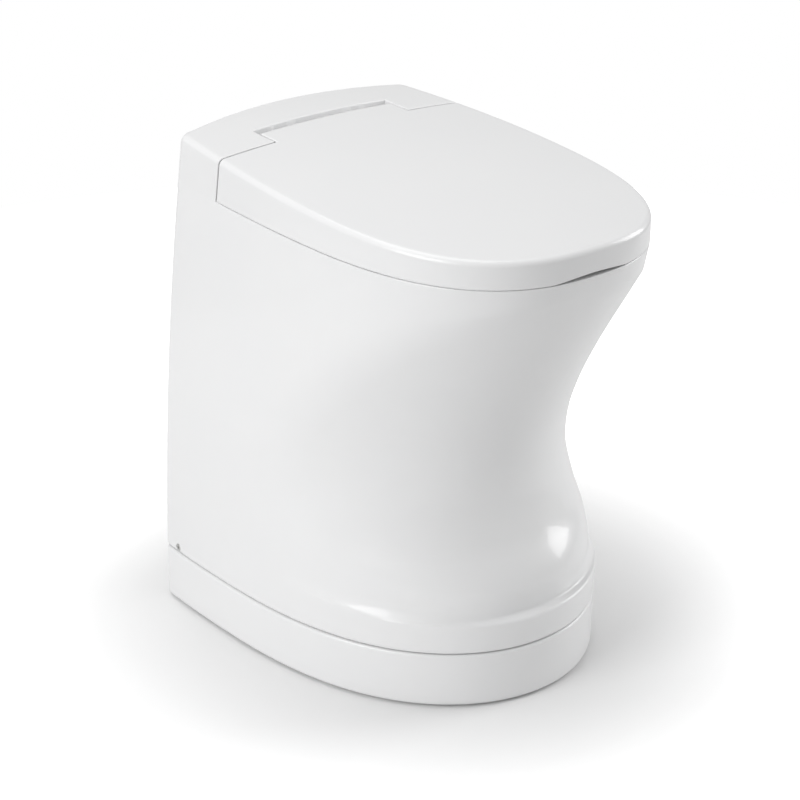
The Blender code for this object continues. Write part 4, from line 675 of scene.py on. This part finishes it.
def shape_with(item, others, operation="DIFFERENCE"):
    """Cuts, joins or keeps by Booleans, and removes the helpers."""
    for other in others:
        step = item.modifiers.new("step", "BOOLEAN")
        step.solver = "MANIFOLD"
        step.operation = operation
        step.object = other
    evaluated(item)
    for other in others:
        bpy.data.objects.remove(other)
    return item


crease = math.radians(32)


def finish_piece(item, name, stands_for, slot="gloss_white_plastic", body="casing"):
    """Names a piece, shades it, dresses it in its finish and hands it to the frame."""
    shape = welded(item.data, 1e-5)
    for face in shape.faces:
        face.smooth = True
    for edge in shape.edges:
        edge.smooth = edge.is_manifold and edge.calc_face_angle(0) < crease
    shape.to_mesh(item.data)
    triangles = sum(len(face.verts) - 2 for face in shape.faces)
    shape.free()
    item.name = item.data.name = name
    item.data.materials.clear()
    item.data.materials.append(finishes[slot].material)
    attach(item, body)
    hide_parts(*stands_for)
    print(name, triangles, "triangles")


# %% [markdown]
# ## The casing
# The casing is the skin in front of the rear panel, below the lid. It is cut away for the lid and
# for the pocket that the lid's tongue rolls in, and hollowed to a 4 mm wall.


# %% Forms that cut the skin
def lid_space(shift, bottom):
    """Everything in front of the leaning ear line and above a height."""
    high = top + overrun
    plan = [(-0.32, bottom), (ear_line(bottom) + shift, bottom), (ear_line(high) + shift, high), (-0.32, high)]
    return prism(plan, -0.23, 0.23, "X", "lid_space")


def arc(radius, start, end, steps):
    turns = [math.radians(mix(start, end, i / steps)) for i in range(steps + 1)]
    return [(hinge_y + radius * math.cos(turn), hinge_z + radius * math.sin(turn)) for turn in turns]


def pocket_form():
    """The hollow behind the ear line that the tongue turns in, open at the top."""
    loops = []
    for x in np.linspace(-pocket_half, pocket_half, 25):
        radius = pocket_radius(tongue_radius(x))
        section = [(0.104, seam), (hinge_y, seam)] + arc(radius, -90, 0, 18)
        section += [(hinge_y + radius, top + overrun), (0.104, top + overrun)]
        loops.append([(x, y, z) for y, z in section])
    return closed_loft(loops, "pocket")


def rear_face(x, height):
    return bow(x, rear_half_at(height))


def rear_space(gap):
    """Everything behind the rear panel's bowed inner face."""
    loops = []
    for height in np.linspace(0, top + overrun, 14):
        loop = [(x, rear_face(x, height) - panel_depth - gap, height) for x in np.linspace(-0.225, 0.225, 61)]
        loops.append(loop + [(0.225, 0.26, height), (-0.225, 0.26, height)])
    return closed_loft(loops, "rear_space")


def oval(half_x, half_y, centre_y, power=2.0, steps=120):
    points = []
    for i in range(steps):
        c, s = math.cos(2 * math.pi * i / steps), math.sin(2 * math.pi * i / steps)
        x = math.copysign(abs(c) ** (2 / power), c) * half_x
        points.append((x, centre_y + math.copysign(abs(s) ** (2 / power), s) * half_y))
    return points


def flank_x(y, height):
    x_along, y_along = outline(height)[0][rear_points:].T
    return float(np.interp(-y, -y_along, x_along))


# %% The casing
hollow_levels = [-0.02, 0.03, 0.0651, 0.080, 0.090, 0.094, 0.0955, 0.0965, 0.098, 0.100, 0.104, 0.112]
hollow_levels += list(np.arange(0.125, 0.45, 0.02)) + [0.455, 0.466, 0.474, 0.479, 0.483, 0.488]
casing = body_form()
panel = placed("panel", casing.data.copy())
screw_y, screw_z, screw_bore = 0.170, 0.0715, 0.0022
screw_x = flank_x(screw_y, screw_z)
cutters = [lid_space(0, seam), pocket_form(), rear_space(joint_gap)]
cutters.append(closed_loft(side_rings(hollow_levels, wall, wall), "hollow", net_merge))
cutters.append(prism(oval(0.1185, 0.1485, bowl_y), 0.484, 0.496))
cutters += [rod((x, button_y, seam), bore, 0.02, "Z") for x, bore in ((button_x, 0.0115), (lens_x, 0.0038))]
for side in (-1, 1):
    cutters.append(rod((side * pocket_half, hinge_y, hinge_z), pin_bore, 0.05, "X"))
    cutters.append(rod((side * (screw_x + 0.0286), screw_y, screw_z), 0.0045, 0.06, "X"))
    cutters.append(rod((side * screw_x, screw_y, screw_z), screw_bore, 0.03, "X"))
shape_with(casing, cutters)
finish_piece(casing, "casing_moulding", ["casing"])

# %% [markdown]
# ## Repeats by Geometry Nodes
# Slots, screws, feet, pads and blades are one form many times over. The form is the modifier's own
# mesh, and a small tree sets copies along a line or about an axis, then makes them real.


# %% A tree for repeats
def repeat_tree():
    tree = bpy.data.node_groups.new("copies along a line or about an axis along Y", "GeometryNodeTree")
    inputs = {"Form": "Geometry", "Count": "Int", "Step": "Vector", "Centre": "Vector", "Turn": "Float",
              "Finish": "Material"}
    sockets = {}
    for word, kind in inputs.items():
        sockets[word] = tree.interface.new_socket(word, in_out="INPUT", socket_type="NodeSocket" + kind).identifier
    tree.interface.new_socket("Copies", in_out="OUTPUT", socket_type="NodeSocketGeometry")
    new = tree.nodes.new
    start, end = new("NodeGroupInput"), new("NodeGroupOutput")
    line, copies = new("GeometryNodeMeshLine"), new("GeometryNodeInstanceOnPoints")
    real, paint = new("GeometryNodeRealizeInstances"), new("GeometryNodeSetMaterial")
    shifted, back = new("GeometryNodeTransform"), new("ShaderNodeVectorMath")
    back.operation = "SCALE"
    back.inputs["Scale"].default_value = -1.0
    index, share, turn = new("GeometryNodeInputIndex"), new("ShaderNodeMath"), new("ShaderNodeMath")
    share.operation, turn.operation = "DIVIDE", "MULTIPLY"
    join = new("ShaderNodeCombineXYZ")
    links = [(start, "Count", line, "Count"), (start, "Step", line, "Offset")]
    links += [(start, "Centre", line, "Start Location"), (start, "Centre", back, 0)]
    links += [(start, "Form", shifted, "Geometry"), (back, "Vector", shifted, "Translation")]
    links += [(index, 0, share, 0), (start, "Count", share, 1), (share, 0, turn, 0), (start, "Turn", turn, 1)]
    links += [(turn, 0, join, "Y"), (join, 0, copies, "Rotation"), (line, "Mesh", copies, "Points")]
    links += [(shifted, "Geometry", copies, "Instance"), (copies, 0, real, 0), (real, 0, paint, "Geometry")]
    links += [(start, "Finish", paint, "Material"), (paint, 0, end, "Copies")]
    for giver, output, taker, socket in links:
        tree.links.new(giver.outputs[output], taker.inputs[socket])
    return tree, sockets


copies_tree, copies_sockets = repeat_tree()
print("tree for copies:", len(copies_tree.nodes), "nodes")


def repeat(item, count, step=(0, 0, 0), centre=None, slot="gloss_white_plastic"):
    """Real copies of a form along a line, or about an axis along Y through a centre."""
    copies = item.modifiers.new("copies", "NODES")
    copies.node_group = copies_tree
    turn = 2 * math.pi if centre else 0.0
    values = {"Count": count, "Step": step, "Centre": centre or (0, 0, 0), "Turn": turn,
              "Finish": finishes[slot].material}
    for word, value in values.items():
        copies[copies_sockets[word]] = value
    return evaluated(item)


# %% [markdown]
# ## The rear panel
# The panel closes the back, 5 mm thick and bowed like the body. Six slots let air out of the motor
# space, and cut-outs let the flue spigot and the power inlet through.

# %% The rear panel
slot_ends = [math.radians(turn) for turn in (-90, -60, -30, 0, 30, 60, 90)]
slot_plan = [(0.043 + 0.002 * math.cos(t), 0.392 + 0.002 * math.sin(t)) for t in slot_ends]
slot_plan += [(-x, z) for x, z in slot_plan[::-1]]
slots = repeat(prism(slot_plan, 0.17, 0.24, "Y", "slots"), 6, step=(0, 0, 0.010))
shape_with(panel, [rear_space(0)], "INTERSECT")
cutters = [rod((0, 0.20, flue_z), 0.0558, 0.09, "Y", 96), slots, box((0, 0.205, 0.105), (0.0185, 0.035, 0.0135))]
panel_screws = ((0.164, 0.092), (0.128, 0.508))
for x, z in panel_screws:
    for side in (-1, 1):
        seat_y = rear_face(x, z) - 0.003
        cutters.append(rod((side * x, seat_y + 0.02, z), 0.0051, 0.04, "Y", 32))
        cutters.append(rod((side * x, seat_y, z), screw_bore, 0.04, "Y", 24))
shape_with(panel, cutters)
finish_piece(panel, "rear_panel_moulding", ["rear_panel"])

# %% [markdown]
# ## The base tray
# The tray stands on four rubber feet. Its rim and the casing's foot are both rounded, so the joint
# between them reads as a groove some 5 mm tall, with the tray's upright lip dark inside it.

# %% The base tray
tray_levels = [(0.003, 0.003), (0.0034, 0.0018), (0.0042, 0.0009), (0.0055, 0.0003), 0.0075, 0.015, 0.025, 0.035]
tray_levels += [0.045, 0.055, 0.0605, (0.0617, 0.0001), (0.0625, 0.0004), (0.0631, 0.0008), (0.0636, 0.00135)]
tray_levels += [(groove_low, 0.0020)]
lip_levels, inside_levels = [0.0062, 0.03, 0.055, 0.0759], [0.0063, 0.03, 0.055, 0.106]
lip_inset, lip_wall = 0.0062, 0.0026
tray = closed_loft(side_rings(tray_levels), "tray", net_merge)
shape_with(tray, [closed_loft(side_rings(lip_levels, lip_inset), "lip", net_merge)], "UNION")
shape_with(tray, [closed_loft(side_rings(inside_levels, lip_inset + lip_wall), "inside", net_merge)])
cutters = [rod((side * screw_x, screw_y, screw_z), screw_bore, 0.03, "X", 24) for side in (-1, 1)]
cutters += [rod((side * foot_x, y, 0), 0.0043, 0.03, "Z", 24) for side in (-1, 1) for y in (foot_front, foot_rear)]
shape_with(tray, cutters)
finish_piece(tray, "base_tray_moulding", ["base_tray"])

# %% [markdown]
# ## The lid
# The lid is the same skin above the seam and in front of the ears, with a tongue that runs back
# between them and rolls down over the hinge. Inside, a 3 mm wall is left, with two knuckles.


# %% The lid
def tongue_block(shrink, front, low):
    """The space of the tongue: under its flat top and inside its quarter roll."""
    loops = []
    for x in np.linspace(-tongue_half, tongue_half, 33):
        radius = tongue_radius(x) - (shrink or 0.00002)
        height = hinge_z + radius if shrink else top + overrun
        section = [(front, low), (front, height), (hinge_y, height)] + arc(radius, 90, 0, 20)
        section.append((hinge_y + radius, low))
        reach = x * 1.02 if shrink else x
        loops.append([(reach, y, z) for y, z in section])
    return closed_loft(loops, "tongue")


def add_knuckles(item, plan, near, far, bore_x):
    """A knuckle on each side of the hinge, with its bore for the pin."""
    for side in (-1, 1):
        shape_with(item, [prism(plan, *sorted((side * near, side * far)), "X")], "UNION")
        shape_with(item, [rod((side * bore_x, hinge_y, hinge_z), pin_bore, 0.02, "X", 32)])


lid = body_form(lid=True)
space = shape_with(lid_space(-ear_gap, lid_low), [tongue_block(0, 0.070, hinge_z)], "UNION")
shape_with(lid, [space], "INTERSECT")
rings = side_rings([0.47, 0.4926, 0.503, 0.511], lid_wall) + edge_rings(lid_wall, [0, 20, 40, 60, 80, 90])
under = domed_net(rings, top_rows(rings[-1], lid_wall), "under")
shape_with(under, [lid_space(lid_wall, 0.46)], "INTERSECT")
shape_with(lid, [under, tongue_block(lid_wall, 0.095, 0.5325)])
knuckle, web_front = 0.008, 0.1017
web_top = tongue_radius(tongue_half) + hinge_z - lid_wall / 2
web = [(hinge_y + 0.0072, hinge_z + 0.004), (hinge_y, web_top), (web_front, web_top), (web_front, web_top - lid_wall)]
add_knuckles(lid, web + arc(knuckle, 215, 390, 24), 0.066, 0.0765, 0.071)
notch_half, notch_height = 0.052, 0.0042
notch = [(notch_half * u, lid_low + notch_height * math.cos(math.pi / 2 * u)) for u in np.linspace(-1, 1, 41)]
notch += [(notch_half, 0.46), (-notch_half, 0.46)]
shape_with(lid, [prism(notch, -0.32, -0.26, "Y")])
finish_piece(lid, "lid_moulding", ["lid"], body="lid")

# %% [markdown]
# ## The seat
# The seat is a ring whose section is a low crown, steeper at its inner edge. The ring's reach at
# each angle comes from the lid's outline outside and an oval inside. Two arms carry its knuckles.


# %% The seat
def reach_at(points, centre_y, turns):
    """How far a closed outline lies from a centre, at each angle."""
    points = np.array(points) - (0, centre_y)
    angle = np.arctan2(points[:, 1], points[:, 0])
    order = np.argsort(angle)
    return np.interp(turns, angle[order], np.hypot(*points.T)[order], period=2 * math.pi)


def spline(points, steps):
    """A smooth open curve through points, in even steps."""
    points = np.array(points, float)
    shares = range(len(points))
    return [curve(shares, points, k / steps) for k in range((len(points) - 1) * steps + 1)]


seat_low, seat_rear, seat_corner, seat_height = 0.4952, 0.072, 0.045, 0.0145
skirt, _ = outline(seam, lid_wall + 0.0045)
skirt = skirt[skirt[:, 1] < seat_rear - seat_corner]
corner_x = skirt[0, 0] - seat_corner
turns = np.radians(np.linspace(90, 0, 24))
corner = np.stack([corner_x + seat_corner * np.cos(turns), seat_rear + seat_corner * (np.sin(turns) - 1)], 1)
straight = [(0, seat_rear)] + [(x, seat_rear) for x in np.linspace(0.02, corner_x, 8)[:-1]]
edge = mirrored(np.concatenate([straight, corner, skirt]))
turns = np.linspace(-math.pi, math.pi, 181)[:-1]
outer = reach_at(edge, bowl_y, turns)
inner = reach_at(oval(0.105, 0.138, bowl_y, 2.1, 360), bowl_y, turns)
section = spline(((1, 0.06), (1, 0.55), (0.93, 0.85), (0.62, 1), (0.3, 0.97), (0.08, 0.7), (0, 0.3), (0.01, 0.02)), 5)
section = [(0.03, 0), (0.992, 0)] + section
loops = []
for share, rise in section:
    reach = inner + (outer - inner) * share
    plan = np.column_stack([reach * np.cos(turns), bowl_y + reach * np.sin(turns)])
    loops.append(level_loop(plan, seat_low + seat_height * rise))
seat = ring_loft(loops, "seat_ring")
arm = [(0.0495, seat_low), (0.0945, seat_low)] + arc(knuckle, -70, 115, 24) + [(0.0495, seat_low + 0.0085)]
add_knuckles(seat, arm, 0.0775, 0.088, 0.083)
finish_piece(seat, "seat_moulding", ["seat"], body="seat")

# %% [markdown]
# ## The bowl
# The bowl is spun and pressed from 1.5 mm steel. It hangs by its rim in the casing's deck and runs
# from an oval mouth to a squarer throat, with a flat flange that rests on the seal.


# %% The bowl
bowl_sheet, bowl_low, throat_y, throat_top = 0.0015, seam + 0.0003, -0.030, 0.3385
mouth_x, mouth_y, throat_half_x, throat_half_y, throat_lip = 0.1165, 0.1465, 0.078, 0.060, 0.014
blend = np.array(spline(((0, 0), (0.12, 0.03), (0.3, 0.13), (0.5, 0.3), (0.7, 0.54), (0.87, 0.8), (0.98, 1)), 4))


def rim_loop(half, rise):
    return level_loop(oval(half, half + mouth_y - mouth_x, bowl_y), bowl_low + rise)


def wall_loop(drop, share, offset=0.0):
    half_x, half_y = mix(mouth_x, throat_half_x, share), mix(mouth_y, throat_half_y, share)
    plan = oval(half_x + offset, half_y + offset, mix(bowl_y, throat_y, share), mix(2, 4, share))
    return level_loop(plan, mix(seam, throat_top, drop))


def throat_loop(grow, rise=0.0):
    return level_loop(oval(throat_half_x + grow, throat_half_y + grow, throat_y, 4), throat_top + rise)


rim = ((0.129, 0), (0.1295, 0.0004), (0.1295, 0.0011), (0.129, bowl_sheet), (0.1175, bowl_sheet), (0.1162, 0.0012))
loops = [rim_loop(half, rise) for half, rise in rim] + [rim_loop(0.1152, 0.0002)]
loops += [wall_loop(drop, share) for drop, share in blend[3:]]
loops += [throat_loop(0), throat_loop(throat_lip), throat_loop(throat_lip, bowl_sheet)]
loops += [throat_loop(bowl_sheet, bowl_sheet)]
loops += [wall_loop(drop, share, bowl_sheet) for drop, share in blend[-2:2:-1]] + [rim_loop(0.1168, 0)]
finish_piece(ring_loft(loops, "bowl"), "bowl_pressing", ["bowl"], "stainless_steel")

# %% [markdown]
# ## Turned pieces
# The flue spigot, the start button with its bezel, the lens and the pads are all round, so each is
# a profile turned about its axis, with the small chamfers of a real turned or moulded piece.

# %% The flue spigot, the button and the lens
spigot_bore, spigot_radius, spigot_start = 0.0525, 0.055, 0.1583
profile = [(spigot_bore, spigot_start)] + chamfered(0.062, spigot_start, 0.1613, 0.0006) + [(spigot_radius, 0.1616)]
profile += [(spigot_radius, 0.2892), (0.0546, 0.2899), (0.054, 0.29), (0.053, 0.2898), (spigot_bore, 0.2890)]
spigot = spun(profile, (0, 0, flue_z), "Y", 128)
finish_piece(spigot, "flue_spigot_tube", ["flue_spigot"], "stainless_steel")
button_at, lens_at = (button_x, button_y, 0), (lens_x, button_y, 0)
profile = [(0, 0.4615), (0.0027, 0.4615), (0.003, 0.4618), (0.003, 0.486), (0.0086, 0.486), (0.009, 0.4864)]
profile += [(0.009, 0.4964), (0.0087, 0.4971), (0.0080, 0.4975), (0.0055, 0.4973), (0, 0.4970)]
button = spun(profile, button_at)
finish_piece(button, "start_button_cap", ["start_button"], "dark_plastic", "start_button")
profile = [(0.0094, 0.488), (0.0112, 0.488), (0.0112, 0.4923), (0.0133, 0.4923), (0.0135, 0.4926)]
profile += [(0.0135, 0.4934), (0.0131, 0.4940), (0.0120, 0.4944), (0.0106, 0.4945), (0.0098, 0.4943), (0.0094, 0.4938)]
finish_piece(spun(profile, button_at), "bezel_ring", ["button_bezel"])
profile = [(0, 0.484), (0.0035, 0.484), (0.0035, 0.4923), (0.0049, 0.4923), (0.005, 0.4926), (0.0048, 0.4930)]
profile += [(0.0040, 0.4933), (0.0024, 0.49345), (0, 0.4935)]
finish_piece(spun(profile, lens_at), "indicator_dome", ["indicator_lens"], "green_lens")

# %% Feet and buffers
corners = ("front_left", "front_right", "rear_left", "rear_right")


def four_corners(profile, half_x, front, rear):
    """Rubber pads turned from one profile, left and right in two rows."""
    pads = repeat(spun(profile, (-half_x, front, 0)), 2, step=(2 * half_x, 0, 0), slot="grey_rubber")
    return repeat(pads, 2, step=(0, rear - front, 0), slot="grey_rubber")


profile = [(0, 0)] + chamfered(0.015, 0, 0.0027, 0.0004)
profile += [(0.004, 0.0027), (0.004, 0.0090), (0.0035, 0.0097), (0, 0.0097)]
feet = four_corners(profile, foot_x, foot_front, foot_rear)
finish_piece(feet, "rubber_feet", [f"foot_{corner}" for corner in corners], "grey_rubber")
profile = [(0, 0.4923), (0.0058, 0.4923), (0.0068, 0.4928), (0.007, 0.4935), (0.007, 0.4949), (0, 0.4949)]
pads = four_corners(profile, 0.128, -0.165, 0.040)
finish_piece(pads, "seat_pads", [f"seat_buffer_{corner}" for corner in corners], "grey_rubber", "seat")
pad_x, pad_y = 0.075, -0.245
pad_top = dome(pad_x, pad_y) - lid_wall / 2
profile = [(0, 0.51), (0.0048, 0.51), (0.0057, 0.5105), (0.006, 0.5113), (0.006, pad_top), (0, pad_top)]
pads = repeat(spun(profile, (-pad_x, pad_y, 0)), 2, step=(2 * pad_x, 0, 0), slot="grey_rubber")
finish_piece(pads, "lid_pads", ["lid_buffer_left", "lid_buffer_right"], "grey_rubber", "lid")

# %% [markdown]
# Four pan-head screws hold the rear panel, and two more hold the casing to the tray. Each has a
# cross recess for the driver.


# %% Screws
def cross_screw(centre, axis, head, rise, length):
    """A pan head with a cross recess. Its shank runs back along the axis."""
    profile = [(0, -length), (0.0013, -length), (0.0019, -length + 0.001), (0.0019, 0), (head, 0)]
    for width, height in ((1, 0.35), (0.93, 0.62), (0.72, 0.88), (0.4, 1), (0, 1)):
        profile.append((head * width, rise * height))
    item = spun(profile, centre, axis, 40)
    middle, arms = list(centre), []
    middle["XYZ".index(axis)] += rise
    for u, v in ((0.00045, head * 0.52), (head * 0.52, 0.00045)):
        arms.append(box(middle, (rise * 0.7, u, v) if axis == "X" else (u, rise * 0.7, v)))
    return shape_with(item, arms)


for x, z, level in ((*panel_screws[0], "low"), (*panel_screws[1], "high")):
    seat_y = rear_face(x, z) - 0.0027
    pair = cross_screw((-x, seat_y, z), "Y", 0.0046, 0.0021, 0.014)
    repeat(pair, 2, step=(2 * x, 0, 0), slot="stainless_steel")
    names = [f"rear_panel_screw_{level}_{side}" for side in ("left", "right")]
    finish_piece(pair, f"panel_screws_{level}", names, "stainless_steel")
pair = cross_screw((screw_x - 0.0011, screw_y, screw_z), "X", 0.004, 0.0012, 0.0088)
repeat(pair, 2, centre=(0, screw_y, screw_z), slot="stainless_steel")
finish_piece(pair, "casing_screws", ["casing_screw_left", "casing_screw_right"], "stainless_steel")

# %% [markdown]
# ## The fan wheel
# Eight leaned blades stand on a back plate. One blade is modelled, and the others are its copies
# about the exhaust axis.

# %% The fan wheel
wheel_front, wheel_back, wheel_end, plate, blade_half = 0.107, 0.131, 0.1417, 0.002, 0.0009
profile = [(0, wheel_front), (0.0094, wheel_front), (0.010, wheel_front + 0.0006), (0.010, wheel_back - 0.002)]
profile += [(0.012, wheel_back)] + chamfered(0.054, wheel_back, wheel_back + plate, 0.0003)
profile += [(0.0025, wheel_back + plate), (0.0025, wheel_end), (0, wheel_end)]
wheel = spun(profile, (0, 0, flue_z), "Y", 96)
plan = []
for side in (1, -1):
    for reach in np.linspace(0, 1, 9)[::side]:
        across = mix(0.024, 0.0528, reach)
        plan.append((across, flue_z + 0.0093 * reach ** 1.3 - side * blade_half))
blade = prism(plan, wheel_front, wheel_back + plate / 2, "Y")
blades = repeat(blade, 8, centre=(0, 0, flue_z), slot="stainless_steel")
shape_with(wheel, [blades], "UNION")
finish_piece(wheel, "fan_wheel", ["fan_impeller"], "stainless_steel", "fan_impeller")

# %% [markdown]
# ## Studio
# The object stands on a pale round floor under three soft boxes. For the camera alone the floor
# glows, more with distance, and the world is white. Close to the object the glow is left out, which
# paints a soft shade all round its foot on top of the real shadow, and both fade to plain white.

# %% Floor, light and close
floor = placed("floor", bpy.data.meshes.new("floor"))
turns, floor_radius = np.linspace(0, 2 * math.pi, 97)[:-1], 1.5
rim = [(floor_radius * math.cos(turn), floor_radius * math.sin(turn), 0) for turn in turns]
floor.data.from_pydata(rim, [], [list(range(len(rim)))])
ground = Finish("studio_floor", Roughness=0.9, Emission_Strength=1.0, Base_Color=(0.8, 0.8, 0.8, 1))
seen = ground.add("ShaderNodeLightPath", output="Is Camera Ray")
# Painted shade: the glow rises from nothing within 0.2 m of the object's middle to full at 0.62 m, so a soft darker
# ring lies round the object besides its real shadow.
away = ground.add("ShaderNodeVectorMath", {"operation": "LENGTH"}, {0: ground.place}, output="Value")
reach = {"Value": away, "From Min": 0.20, "From Max": 0.62}  # metres from the object's middle
share = ground.add("ShaderNodeMapRange", {"interpolation_type": "SMOOTHSTEP"}, reach)
ground.feed("Emission Color", ground.blend(share * seen, (0, 0, 0), (0.6, 0.6, 0.6)))
floor.data.materials.append(ground.material)

world = bpy.context.scene.world or bpy.data.worlds.new("studio")
bpy.context.scene.world = world
world.use_nodes = True
tree = world.node_tree
tree.nodes.clear()
pick, out = tree.nodes.new("ShaderNodeMixShader"), tree.nodes.new("ShaderNodeOutputWorld")
for socket, strength in ((1, 0.45), (2, 1.0)):  # as a light, and as seen
    sky = tree.nodes.new("ShaderNodeBackground")
    sky.inputs["Color"].default_value = (1, 1, 1, 1)
    sky.inputs["Strength"].default_value = strength
    tree.links.new(sky.outputs[0], pick.inputs[socket])
tree.links.new(tree.nodes.new("ShaderNodeLightPath").outputs["Is Camera Ray"], pick.inputs[0])
tree.links.new(pick.outputs[0], out.inputs[0])


def softbox(name, place, size, power):
    """An area lamp that faces the object's middle."""
    lamp = bpy.data.lights.new(name, "AREA")
    lamp.shape, lamp.size, lamp.size_y, lamp.energy = "RECTANGLE", size[0], size[1], power
    item = placed(name, lamp)
    item.location = place
    item.rotation_euler = (Vector((0, 0, 0.28)) - Vector(place)).to_track_quat("-Z", "Y").to_euler()


softbox("left softbox", (-2.6, -0.2, 1.5), (1.6, 1.8), 40)
softbox("right softbox", (2.6, -0.9, 1.3), (1.4, 1.6), 38)
softbox("top softbox", (-0.3, 0.5, 2.6), (1.8, 1.8), 22)
bpy.context.scene.view_settings.view_transform = "Standard"
